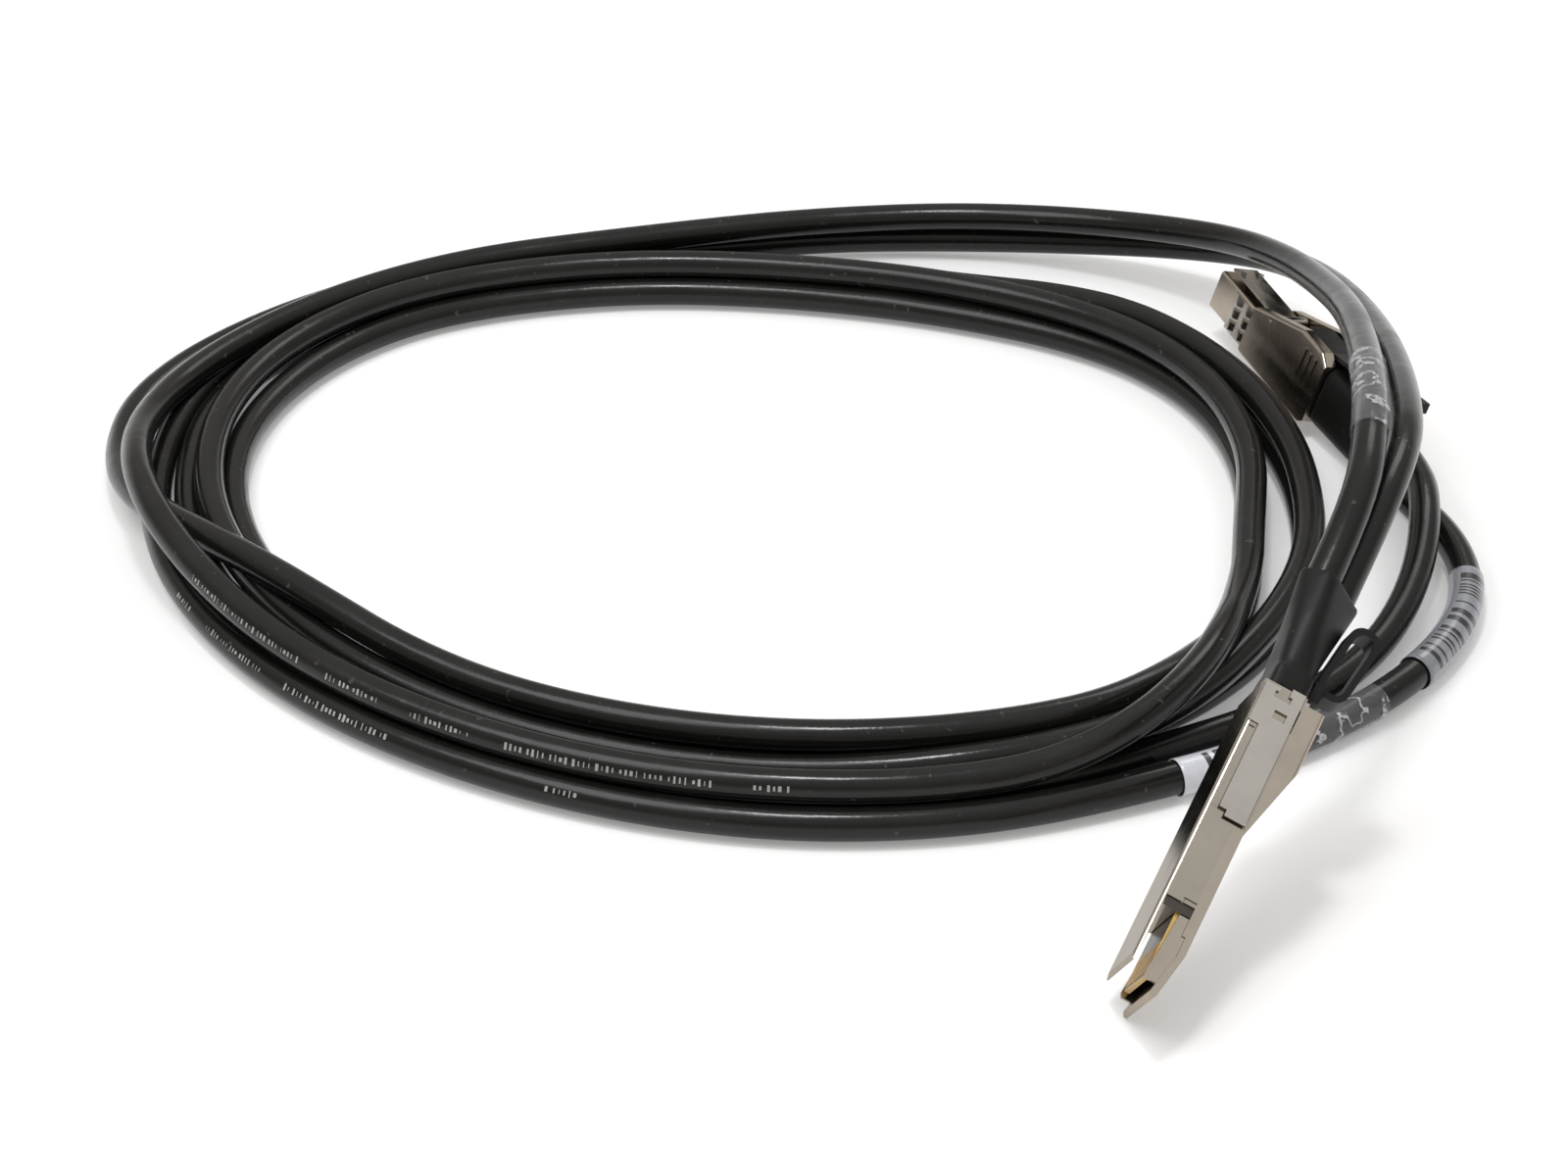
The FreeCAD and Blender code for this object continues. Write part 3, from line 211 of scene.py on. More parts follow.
class EffectLibrary:
    """Shader node groups that several finishes share, each built once."""

    GRAIN = "fine_grain"
    MARKS = "handling_marks"

    @classmethod
    def group(cls, name: str) -> bpy.types.NodeTree:
        """Find or build a group by its name."""
        found = bpy.data.node_groups.get(name)
        return found or {cls.GRAIN: cls._grain, cls.MARKS: cls._marks}[name]()

    @staticmethod
    def _start(name: str, inputs: Sequence[Tuple[str, float]], outputs: Sequence[str]) -> Tuple:
        """Make an empty group with number inputs and number outputs.

        Args:
            name: The group's name.
            inputs: Input names, each with its value.
            outputs: Output names.

        Returns:
            The tree, its canvas, and its input and output nodes.
        """
        tree = bpy.data.node_groups.new(name, "ShaderNodeTree")
        for label, value in inputs:
            socket = tree.interface.new_socket(label, in_out="INPUT", socket_type="NodeSocketFloat")
            socket.default_value = value
        for label in outputs:
            tree.interface.new_socket(label, in_out="OUTPUT", socket_type="NodeSocketFloat")
        canvas = NodeCanvas(tree)
        return tree, canvas, canvas.add("NodeGroupInput"), canvas.add("NodeGroupOutput")

    @classmethod
    def _grain(cls) -> bpy.types.NodeTree:
        """Build the fine moulded or cast grain: a height and a slow tone.

        Returns:
            The group's tree.
        """
        tree, canvas, source, sink = cls._start(
            cls.GRAIN, [("Fine Scale", 2400.0), ("Slow Scale", 90.0)], ["Height", "Tone"])
        place = canvas.add("ShaderNodeTexCoord").outputs["Object"]
        fine = canvas.add("ShaderNodeTexNoise", {"Vector": place, "Scale": source.outputs["Fine Scale"],
                                                 "Detail": 3.0, "Roughness": 0.6})
        slow = canvas.add("ShaderNodeTexNoise", {"Vector": place, "Scale": source.outputs["Slow Scale"],
                                                 "Detail": 4.0, "Roughness": 0.55})
        canvas.fill(sink, {"Height": fine.outputs["Fac"], "Tone": slow.outputs["Fac"]})
        return tree

    @classmethod
    def _marks(cls) -> bpy.types.NodeTree:
        """Build handling marks: thin rubbed lines, soft smudges and specks of dust.

        Returns:
            The group's tree.
        """
        tree, canvas, source, sink = cls._start(
            cls.MARKS, [("Line Scale", 260.0), ("Smudge Scale", 140.0), ("Dust Scale", 900.0)],
            ["Lines", "Smudges", "Dust"])
        place = canvas.add("ShaderNodeTexCoord").outputs["Object"]
        turned = canvas.add("ShaderNodeMapping", {"Vector": place, "Rotation": (0.3, 0.7, 1.03),
                                                  "Scale": (1.0, 0.04, 1.0)})
        lines = canvas.add("ShaderNodeTexNoise", {
            "Vector": turned.outputs[0], "Scale": source.outputs["Line Scale"],
            "Detail": 6.0, "Roughness": 0.75})
        smudges = canvas.add("ShaderNodeTexNoise", {"Vector": place, "Scale": source.outputs["Smudge Scale"],
                                                    "Detail": 2.0, "Distortion": 0.6})
        dust = canvas.add("ShaderNodeTexNoise", {"Vector": place, "Scale": source.outputs["Dust Scale"],
                                                 "Detail": 2.0})
        canvas.fill(sink, {"Lines": canvas.ramp(lines.outputs["Fac"], 0.58, 0.72),
                           "Smudges": canvas.ramp(smudges.outputs["Fac"], 0.42, 0.68),
                           "Dust": canvas.ramp(dust.outputs["Fac"], 0.69, 0.76)})
        return tree


@dataclass(frozen=True)
class Finish:
    """A material with its own name; subclasses say how its nodes are joined."""

    name: str
    colour: Colour

    def material(self) -> bpy.types.Material:
        """Find the finished material, or make it on first use.

        Returns:
            The material.
        """
        found = bpy.data.materials.get(self.name)
        if found:
            return found
        made = bpy.data.materials.new(self.name)
        made.use_nodes = True
        canvas = NodeCanvas(made.node_tree)
        shader = made.node_tree.nodes["Principled BSDF"]
        self.join(canvas, shader)
        return made

    def join(self, canvas: NodeCanvas, shader: bpy.types.Node) -> None:
        """Join the finish's nodes to its shader."""
        raise NotImplementedError

    def effect(self, canvas: NodeCanvas, name: str, **values: float) -> bpy.types.Node:
        """Place one shared effect in this material.

        Args:
            canvas: The material's canvas.
            name: The effect's name in the library.
            values: Group inputs, with spaces written as underscores.

        Returns:
            The group node.
        """
        node = canvas.add("ShaderNodeGroup", node_tree=EffectLibrary.group(name))
        for key, value in values.items():
            node.inputs[key.replace("_", " ")].default_value = value
        return node

    def tone(self, factor: float) -> Tuple[float, float, float, float]:
        """Scale the colour's brightness and give it full alpha."""
        return tuple(min(1.0, channel * factor) for channel in self.colour) + (1.0,)


@dataclass(frozen=True)
class PlatedMetal(Finish):
    """Nickel, steel or gold plating over cast or formed metal."""

    polish: float = 0.2
    wear: float = 0.12
    grain: float = 0.04
    darkening: float = 0.93
    streaks: float = 0.1
    edge: Colour = (0.55, 0.53, 0.5)
    streak_tone: float = 0.6
    rub: float = 0.8

    def join(self, canvas: NodeCanvas, shader: bpy.types.Node) -> None:
        """Join plating tone, rubbed lines, smudges and cast grain.

        Args:
            canvas: The material's canvas.
            shader: Its shader node.
        """
        grain = self.effect(canvas, EffectLibrary.GRAIN, Fine_Scale=3200.0, Slow_Scale=130.0)
        marks = self.effect(canvas, EffectLibrary.MARKS, Line_Scale=520.0, Smudge_Scale=160.0)
        tone = canvas.ramp(grain.outputs["Tone"], *NOISE_RANGE)
        base = canvas.mix(tone, self.tone(self.darkening), self.tone(1.04))
        streaked = canvas.math("MULTIPLY", marks.outputs["Lines"], self.streaks)
        worn = canvas.mix(streaked, base, self.tone(self.streak_tone))
        smudged = canvas.math("MULTIPLY", marks.outputs["Smudges"], self.wear)
        rubbed = canvas.math("MULTIPLY", marks.outputs["Lines"], self.wear * self.rub)
        rough = canvas.math("ADD", canvas.math("ADD", smudged, rubbed), self.polish)
        bump = canvas.add("ShaderNodeBump", {"Height": grain.outputs["Height"], "Strength": self.grain,
                                             "Distance": 0.0002})
        canvas.fill(shader, {"Base Color": worn, "Metallic": 1.0, "Specular Tint": self.edge + (1.0,),
                             "Roughness": rough, "Normal": bump.outputs[0]})


@dataclass(frozen=True)
class MouldedPlastic(Finish):
    """Moulded plastic or vinyl with fine grain, scuffs and dust."""

    roughness: float = 0.5
    spread: float = 0.15
    grain: float = 0.12
    fine_scale: float = 2600.0
    dust: float = 0.15
    specular: float = 0.5
    scuff: float = 0.25
    scuff_tone: float = 2.4
    ripple: float = 0.0

    def join(self, canvas: NodeCanvas, shader: bpy.types.Node) -> None:
        """Join moulded grain, scuffed tone and dust specks.

        Args:
            canvas: The material's canvas.
            shader: Its shader node.
        """
        grain = self.effect(canvas, EffectLibrary.GRAIN, Fine_Scale=self.fine_scale, Slow_Scale=70.0)
        marks = self.effect(canvas, EffectLibrary.MARKS, Line_Scale=180.0, Smudge_Scale=60.0,
                            Dust_Scale=520.0)
        tone = canvas.ramp(grain.outputs["Tone"], *NOISE_RANGE)
        base = canvas.mix(tone, self.tone(0.8), self.tone(1.2))
        lines = canvas.math("MULTIPLY", marks.outputs["Lines"], self.scuff)
        scuffed = canvas.mix(lines, base, self.tone(self.scuff_tone))
        dusted = canvas.mix(canvas.math("MULTIPLY", marks.outputs["Dust"], self.dust), scuffed, DUST_COLOUR)
        rough = canvas.ramp(marks.outputs["Smudges"], 0.0, 1.0, self.roughness - self.spread / 2,
                            self.roughness + self.spread / 2)
        waves = canvas.add("ShaderNodeBump", {"Height": grain.outputs["Tone"], "Strength": self.ripple,
                                              "Distance": 0.002})
        bump = canvas.add("ShaderNodeBump", {"Height": grain.outputs["Height"], "Strength": self.grain,
                                             "Distance": 0.0003, "Normal": waves.outputs[0]})
        canvas.fill(shader, {"Base Color": dusted, "Roughness": rough, "Normal": bump.outputs[0],
                             "Specular IOR Level": self.specular})


@dataclass(frozen=True)
class BarredLabel(Finish):
    """Label film with generic printed bars, set out on the label's own UV map."""

    bars: float = 64.0
    low: float = 0.08
    high: float = 0.92
    block: Tuple[float, float] = (0.33, 0.6)
    ink: Colour = (0.05, 0.05, 0.055)
    bare: float = 0.52

    def join(self, canvas: NodeCanvas, shader: bpy.types.Node) -> None:
        """Join the bars, a soft paper tone and a glossy film.

        Args:
            canvas: The material's canvas.
            shader: Its shader node.
        """
        place = canvas.add("ShaderNodeUVMap", uv_map="label").outputs[0]
        parts = canvas.add("ShaderNodeSeparateXYZ", {0: place})
        along, around = parts.outputs["X"], parts.outputs["Y"]
        cell = canvas.math("FLOOR", canvas.math("MULTIPLY", along, self.bars))
        chance = canvas.add("ShaderNodeTexWhiteNoise", {"W": cell}, noise_dimensions="1D").outputs["Value"]
        printed = canvas.math("GREATER_THAN", chance, self.bare)
        inside = canvas.math("MULTIPLY", canvas.math("GREATER_THAN", along, self.low),
                             canvas.math("LESS_THAN", along, self.high))
        band = canvas.math("MULTIPLY", canvas.math("GREATER_THAN", around, self.block[0]),
                           canvas.math("LESS_THAN", around, self.block[1]))
        mask = canvas.math("MULTIPLY", canvas.math("MULTIPLY", printed, inside), band)
        grain = self.effect(canvas, EffectLibrary.GRAIN, Fine_Scale=1800.0, Slow_Scale=160.0)
        tone = canvas.ramp(grain.outputs["Tone"], *NOISE_RANGE)
        paper = canvas.mix(tone, self.tone(0.86), self.tone(1.04))
        rough = canvas.ramp(grain.outputs["Height"], *NOISE_RANGE, 0.16, 0.3)
        bump = canvas.add("ShaderNodeBump", {"Height": grain.outputs["Tone"], "Strength": 0.25,
                                             "Distance": 0.0006})
        canvas.fill(shader, {"Base Color": canvas.mix(mask, paper, self.ink + (1.0,)), "Roughness": rough,
                             "Normal": bump.outputs[0], "Coat Weight": 0.5, "Coat Roughness": 0.1})


@dataclass(frozen=True)
class ClearFilm(Finish):
    """Clear wrapped tape that shows the cable through it, with paler creases."""

    alpha: float = 0.1
    crease_width: float = 0.018
    crease_alpha: float = 0.5

    def join(self, canvas: NodeCanvas, shader: bpy.types.Node) -> None:
        """Join creases to the colour, alpha and normal.

        Args:
            canvas: The material's canvas.
            shader: Its shader node.
        """
        grain = self.effect(canvas, EffectLibrary.GRAIN, Fine_Scale=420.0, Slow_Scale=95.0)
        fold = canvas.math("ABSOLUTE", canvas.math("SUBTRACT", grain.outputs["Tone"], 0.5))
        crease = canvas.ramp(fold, 0.0, self.crease_width, 1.0, 0.0)
        tint = canvas.mix(crease, self.tone(0.55), self.tone(1.0))
        cover = canvas.ramp(crease, 0.0, 1.0, self.alpha, self.alpha + self.crease_alpha)
        rough = canvas.ramp(grain.outputs["Height"], *NOISE_RANGE, 0.08, 0.2)
        bump = canvas.add("ShaderNodeBump", {"Height": grain.outputs["Height"], "Strength": 0.5,
                                             "Distance": 0.0008})
        canvas.fill(shader, {"Base Color": tint, "Alpha": cover, "Roughness": rough,
                             "Normal": bump.outputs[0]})


BRIGHT_NICKEL = PlatedMetal("bright nickel", (0.46, 0.415, 0.355), polish=0.12, wear=0.04, grain=0.012)
SATIN_NICKEL = PlatedMetal("satin nickel", (0.5, 0.44, 0.37), polish=0.17, wear=0.04, grain=0.02)
SPRING_STEEL = PlatedMetal("spring steel", (0.55, 0.52, 0.47), polish=0.2, wear=0.1, grain=0.03)
GOLD_PLATE = PlatedMetal("gold plate", (0.88, 0.57, 0.17), polish=0.22, wear=0.08, grain=0.02)
CRIMP_METAL = PlatedMetal("crimp metal", (0.5, 0.49, 0.46), polish=0.3, wear=0.12, grain=0.06)
# painted shade: darkened nickel for the floor of the QSFP nose's inset band, where the recess is in shade
PAINTED_SHADE_NICKEL = PlatedMetal("shadowed nickel", (0.1, 0.092, 0.082), polish=0.3, wear=0.1, grain=0.03)
CARD_MASK = MouldedPlastic("card solder mask", (0.045, 0.04, 0.02), roughness=0.35, spread=0.1, grain=0.04)
CARD_EDGE = MouldedPlastic("card bare edge", (0.6, 0.4, 0.13), roughness=0.4, spread=0.1, grain=0.05,
                           dust=0.0, scuff=0.02)
FOIL_PAIR = MouldedPlastic("foil wrapped pair", (0.52, 0.53, 0.56), roughness=0.28, spread=0.1, grain=0.2,
                           dust=0.0)
BLACK_MOULDING = MouldedPlastic("black moulding", (0.0065, 0.0063, 0.006), roughness=0.5, spread=0.12,
                                grain=0.12, dust=0.06, specular=0.24)
JACKET_VINYL = MouldedPlastic("jacket vinyl", (0.0085, 0.0083, 0.0076), roughness=0.23, spread=0.1,
                              grain=0.04, fine_scale=1500.0, dust=0.1, specular=0.32, ripple=0.1)
PRINT_INK = MouldedPlastic("pale print ink", (0.34, 0.34, 0.32), roughness=0.5, spread=0.1, grain=0.05,
                           dust=0.0)
WHITE_LABEL = BarredLabel("white label", (0.66, 0.67, 0.72), bars=48.0, low=0.42, high=0.78,
                          block=(0.36, 0.5))
GREY_LABEL = BarredLabel("grey barcode label", (0.27, 0.28, 0.31), ink=(0.02, 0.02, 0.022))
CLEAR_TAPE = ClearFilm("clear tape", (0.8, 0.81, 0.84))

NODE_FINISHES: Dict[Slot, Finish] = {
    Slot.BRIGHT_SHELL: BRIGHT_NICKEL,
    Slot.SATIN_SHELL: SATIN_NICKEL,
    Slot.STEEL: SPRING_STEEL,
    Slot.CARD: CARD_MASK,
    Slot.GOLD: GOLD_PLATE,
    Slot.WIRE: FOIL_PAIR,
    Slot.FERRULE: CRIMP_METAL,
    Slot.MOULDING: BLACK_MOULDING,
    Slot.JACKET: JACKET_VINYL,
    Slot.LABEL: WHITE_LABEL,
    Slot.FILM: CLEAR_TAPE,
}


@dataclass
class TableLayout:
    """Where the photograph's table plan lies in the part's own frame."""

    coil_centre: Tuple[float, float] = (-13.0, 31.0)

    def __post_init__(self) -> None:
        """Find the plan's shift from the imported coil's box."""
        low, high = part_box("cable_coil")
        middle = (low + high) / 2
        self.shift = Vector((middle.x - self.coil_centre[0] * MM, middle.y - self.coil_centre[1] * MM, 0.0))

    def point(self, place: Sequence[float]) -> Vector:
        """Turn a plan point in millimetres into the part's frame in metres."""
        return Vector(place) * MM + self.shift


@dataclass(frozen=True)
class Oval:
    """A turned ellipse on the table plan, in millimetres and degrees."""

    centre: Tuple[float, float]
    half_long: float
    half_short: float
    turn: float

    def at(self, angle: float, offset: float) -> Tuple[float, float]:
        """Find a point beside the oval.

        Args:
            angle: Angle round the oval, in degrees.
            offset: Distance outwards, square to the oval.

        Returns:
            The point on the plan.
        """
        own, turn = math.radians(angle - self.turn), math.radians(self.turn)
        outwards = Vector((self.half_short * math.cos(own), self.half_long * math.sin(own))).normalized()
        x = self.half_long * math.cos(own) + outwards.x * offset
        y = self.half_short * math.sin(own) + outwards.y * offset
        return (self.centre[0] + x * math.cos(turn) - y * math.sin(turn),
                self.centre[1] + x * math.sin(turn) + y * math.cos(turn))


@dataclass
class CoilLanes:
    """The coil's turns: strands that change lanes beside an oval as they are laid.

    Each lane key is the angle laid so far in degrees, then the offset outwards from the oval and the height,
    both in millimetres.
    """

    oval: Oval = Oval((-6.4, 34.7), 121.3, 97.9, -20.8)
    step: float = 9.0
    floor_gap: float = 0.1
    inner: List[Point] = field(default_factory=lambda: [
        (66, 15.3, 3.7), (90, 14.5, 3.6), (120, 13, 3.6), (150, 12.5, 3.6), (178, 10, 3.6),
        (200, 11.5, 3.6), (228, 7, 3.6), (248, 3.1, 3.6), (277, 1.3, 3.6), (298, 5.5, 3.6),
        (318, 10.5, 3.6), (332, 10.3, 3.6), (346, 7, 3.6), (364, 3.2, 3.6), (393, 3.5, 3.6),
        (416, 5.8, 3.6), (432, 3.5, 3.6), (450, -1.5, 3.6), (480, -2, 3.6), (500, 1.5, 3.6),
        (525, 0.5, 3.6), (560, 0.3, 3.6), (588, 0, 3.6), (608, -3.5, 3.6), (637, -5.5, 3.6),
        (658, -2, 3.6), (678, 3.9, 3.6), (692, 3, 3.6), (707, -2.8, 3.6), (729, -10.3, 3.6),
        (753, -4.5, 3.8), (764, -1, 8.5), (776, 4, 10.3), (795, 3.2, 10.3), (812, 2.3, 9.6),
        (840, 2, 9.3), (852, 2.7, 11.2), (864, 4.2, 13.8), (874, 9, 14.4), (882, 14, 12.6),
        (892, 21.5, 9.4), (902, 26.5, 4.6), (915, 30, 3.6), (932, 25, 3.6), (950, 20.2, 3.6),
        (968, 16.4, 3.8)])
    outer: List[Point] = field(default_factory=lambda: [
        (72, 23.2, 3.7), (90, 23, 3.6), (120, 20.5, 3.6), (140, 19.5, 3.6), (165, 18.2, 3.6),
        (185, 17.2, 3.6), (205, 18.6, 3.6), (228, 13.9, 3.6), (248, 9.9, 3.6), (277, 8.2, 3.6),
        (298, 12.4, 4.2), (308, 13.8, 7.2), (318, 13.6, 9.8), (332, 10.8, 10.5), (346, 7, 10.5),
        (364, 3.2, 10.4), (393, 4.2, 10.4), (404, 7.5, 9.8), (416, 10.5, 8.8), (432, 9.4, 7.3),
        (450, 6, 3.8), (480, 5.5, 3.7), (492, 6.3, 5.3), (505, 7, 7.7), (525, 5.8, 8.7), (540, 5.2, 8.8),
        (565, 5.8, 8.8), (588, 4, 9.3), (608, 0, 9.5), (637, -2.1, 9.6), (658, 1.5, 9.8), (678, 5, 10.4),
        (692, 3.3, 10.4), (707, -2.8, 10.4), (729, -10.3, 10.4), (750, -5, 11.5), (762, 3.5, 15.6),
        (774, 13.5, 14.8), (786, 18.5, 10.4), (810, 18.5, 9.4), (840, 16.9, 9.4), (862, 17.3, 11.5),
        (874, 19, 15.5), (884, 20.2, 17.4), (892, 20.6, 17), (900, 20.8, 14), (912, 20.4, 10),
        (932, 13.9, 9.6), (950, 10.7, 9.8), (968, 8.6, 10.5)])

    def lane(self, keys: Sequence[Point], angle: float) -> Tuple[float, float]:
        """Read a strand's offset and height at an angle, smoothly between its keys.

        Args:
            keys: The strand's lane keys.
            angle: Angle laid so far, in degrees.

        Returns:
            Offset outwards and height, in millimetres.
        """
        last = len(keys) - 1
        spot = next((i for i in range(last) if angle <= keys[i + 1][0]), last - 1)
        span = keys[spot + 1][0] - keys[spot][0]
        share = (angle - keys[spot][0]) / span
        found = []
        for part in (1, 2):
            ends = [keys[spot][part], keys[spot + 1][part]]
            slopes = []
            for i in (spot, spot + 1):
                before, after = keys[max(i - 1, 0)], keys[min(i + 1, last)]
                slopes.append((after[part] - before[part]) / (after[0] - before[0]) * span)
            cube, square = share ** 3, share ** 2
            found.append(ends[0] * (2 * cube - 3 * square + 1) + slopes[0] * (cube - 2 * square + share)
                         + ends[1] * (3 * square - 2 * cube) + slopes[1] * (cube - square))
        return found[0], max(found[1], CABLE_OD / 2 + self.floor_gap)

    def points(self, keys: Sequence[Point]) -> List[Point]:
        """Lay a strand's turns, clockwise from above.

        Args:
            keys: The strand's lane keys.

        Returns:
            Plan points in millimetres.
        """
        out = []
        first, last = keys[0][0], keys[-1][0]
        count = int((last - first) / self.step) + 1
        for index in range(count):
            angle = first + (last - first) * index / (count - 1)
            offset, height = self.lane(keys, angle)
            out.append(self.oval.at(-angle, offset) + (height,))
        return out


@dataclass
class CableRoutes:
    """The given points of the four cable ends, on the table plan in millimetres."""

    qsfp_run: float = 18.0
    sas_run: float = 16.0
    qsfp_a: List[Point] = field(default_factory=lambda: [
        (113.5, -46, 67.5), (117.5, -21, 63), (121, 7, 56), (123.7, 39.5, 47), (123, 70, 37.5),
        (119, 98, 29.5), (110, 122, 22.4), (91, 141, 16.4), (65, 152.5, 13), (40, 156.5, 11.6),
        (15, 155.5, 11), (-11, 151.5, 10.8)])
    qsfp_b: List[Point] = field(default_factory=lambda: [
        (122, -40.5, 60.5), (126, -16, 56), (129, 12.5, 49), (130.7, 43, 40.5), (130.2, 73, 32),
        (127, 101, 24), (118.5, 127.5, 15.5), (97.5, 145.5, 9), (68, 155, 5.5), (40, 158.5, 4.2),
        (15, 158.5, 4), (-11, 154.8, 4)])
    sas_a: List[Point] = field(default_factory=lambda: [
        (140.5, 16, 11.5), (136.5, -3, 7.5), (128, -22, 4.4), (115, -40, 3.7), (96.5, -54.5, 3.7),
        (74, -65.5, 3.7)])
    sas_b: List[Point] = field(default_factory=lambda: [
        (146, 15.5, 3.9), (147.5, -2, 3.8), (142.5, -20.5, 3.8), (130, -39, 3.8), (112, -55.5, 3.8),
        (89, -69.5, 3.8), (63, -80, 3.8)])


@dataclass
class PlugFrame:
    """A plug's own frame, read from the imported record: its nose and the line from nose to back."""

    mount: str
    face_depth: float = 0.05

    def __post_init__(self) -> None:
        """Find the plug's nose and its direction from the record's mount."""
        record = frame["record"]
        mount = next(m for m in record["mounts"] if m["name"] == self.mount)
        self.along = -Vector(mount["axis"]).normalized()
        self.nose = Vector(mount["pos_m"])

    def exits(self, node: str) -> List[Vector]:
        """Find where two cables leave a boot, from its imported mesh.

        Args:
            node: The boot's node.

        Returns:
            The two cable middles on the boot's end face, the higher one first.
        """
        points = [vertex.co.copy() for vertex in frame["nodes"][node].data.vertices]
        reach = max(point.dot(self.along) for point in points)
        face = [point for point in points if reach - point.dot(self.along) < self.face_depth * MM]
        middle = sum(face, Vector()) / len(face)
        widest = max(face, key=lambda point: (point - middle).length)
        across = self._long_direction(face, middle, widest)
        return sorted([middle + across, middle - across], key=lambda point: -point.z)

    def _long_direction(self, face: List[Vector], middle: Vector, widest: Vector) -> Vector:
        """Find half the cables' spacing along the end face's longer side.

        Args:
            face: Points of the end face.
            middle: Their middle.
            widest: The one furthest from the middle.

        Returns:
            The step from the middle to one cable.
        """
        first = (widest - middle).normalized()
        second = self.along.cross(first)
        sums = [0.0, 0.0, 0.0]
        for point in face:
            u = (point - middle).dot(first)
            v = (point - middle).dot(second)
            sums = [sums[0] + u * u, sums[1] + v * v, sums[2] + u * v]
        turn = 0.5 * math.atan2(2 * sums[2], sums[0] - sums[1])
        return (first * math.cos(turn) + second * math.sin(turn)) * CABLE_PITCH / 2 * MM


@dataclass
class CableLine:
    """A laid cable's middle line, read from its own spline; its places are counted in bends."""

    cable: bpy.types.Object
    detail: int = 40

    def __post_init__(self) -> None:
        """Read the line's points from a bare copy of the cable's curve."""
        curve = self.cable.data.copy()
        curve.bevel_depth = 0.0
        curve.resolution_u = self.detail
        bare = place_in_scene("bare_line", curve)
        mesh = evaluated_mesh(bare)
        self.points = [vertex.co.copy() for vertex in mesh.vertices]
        self.bends = len(curve.splines[0].points) - 2
        bpy.data.objects.remove(bare)
        bpy.data.curves.remove(curve)
        bpy.data.meshes.remove(mesh)

    def at(self, span: float) -> Tuple[Vector, Vector]:
        """Find a place along the line and its direction there.

        Args:
            span: Number of bends behind the place.

        Returns:
            The place and the direction ahead.
        """
        spot = span / self.bends * (len(self.points) - 1)
        index = min(max(int(spot), 1), len(self.points) - 3)
        before, first, last, after = self.points[index - 1:index + 3]
        share = spot - index
        ahead = (last - before).lerp(after - first, share)
        return first.lerp(last, share), ahead.normalized()

    def across(self, ahead: Vector) -> Tuple[Vector, Vector]:
        """Give the level direction across the line and the one up from it."""
        side = ahead.cross(Vector((0, 0, 1))).normalized()
        return side, side.cross(ahead)

    def walk(self, span: Tuple[float, float], spacing: float) -> List[Tuple[Vector, Vector]]:
        """Walk a stretch of the line in even steps.

        Args:
            span: Numbers of bends behind the stretch's two ends.
            spacing: Length of a step, in metres.

        Returns:
            Places and directions.
        """
        start, stop = span
        count = round(self.detail * (stop - start))
        out, gone, last = [], 0.0, None
        for index in range(count + 1):
            place, ahead = self.at(start + (stop - start) * index / count)
            gone += (place - last).length if last else spacing
            last = place
            if gone >= spacing:
                out.append((place, ahead))
                gone -= spacing
        return out


@dataclass
class WrappedFilm:
    """A label or tape wound round a cable between two places on its line.

    The film's step, in millimetres, sets its wall and how far it stands off the jacket. Seam and wound are
    degrees.
    """

    name: str
    node: str
    slot: Slot
    finish: Finish
    span: Tuple[float, float]
    film: float = 0.25
    wall: float = 0.7
    lift: float = 0.9
    lap: float = 0.5
    seam: float = -60.0
    wound: float = 384.0
    rings: int = 36
    sides: int = 32

    def build(self, line: CableLine) -> bpy.types.Object:
        """Wind the film, give it its own UV map and dress it.

        Args:
            line: The cable's middle line.

        Returns:
            The piece.
        """
        mesh = bmesh.new()
        uv = mesh.loops.layers.uv.new("label")
        start, stop = self.span
        rows = []
        for ring in range(self.rings + 1):
            middle, ahead = line.at(start + (stop - start) * ring / self.rings)
            side, up = line.across(ahead)
            edges = [self._edge(side, up, turn / self.sides) for turn in range(self.sides + 1)]
            rows.append([mesh.verts.new(middle + edge) for edge in edges])
        for ring in range(self.rings):
            for turn in range(self.sides):
                corners = ((ring, turn), (ring, turn + 1), (ring + 1, turn + 1), (ring + 1, turn))
                face = mesh.faces.new([rows[r][t] for r, t in corners])
                face.smooth = True
                for loop, (r, t) in zip(face.loops, corners):
                    loop[uv].uv = (r / self.rings, t / self.sides)
        data = bpy.data.meshes.new(self.name)
        mesh.to_mesh(data)
        mesh.free()
        piece = place_in_scene(self.name, data)
        wall = piece.modifiers.new("film", "SOLIDIFY")
        wall.thickness = self.film * self.wall * MM
        wall.offset = -1.0
        data.materials.append(self.finish.material())
        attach(piece, Body.CABLE_AND_PLUGS.value)
        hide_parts(self.node)
        return piece

    def _edge(self, side: Vector, up: Vector, share: float) -> Vector:
        """Find one point of the film round the cable; its last part laps over the first.

        Args:
            side: Direction across the cable.
            up: Direction up from the cable.
            share: Share of the film wound so far.

        Returns:
            The point's offset from the cable's middle.
        """
        angle = math.radians(self.seam + self.wound * share)
        radius = (CABLE_OD / 2 + self.film * (self.lift + self.lap * share)) * MM
        return (side * math.cos(angle) + up * math.sin(angle)) * radius


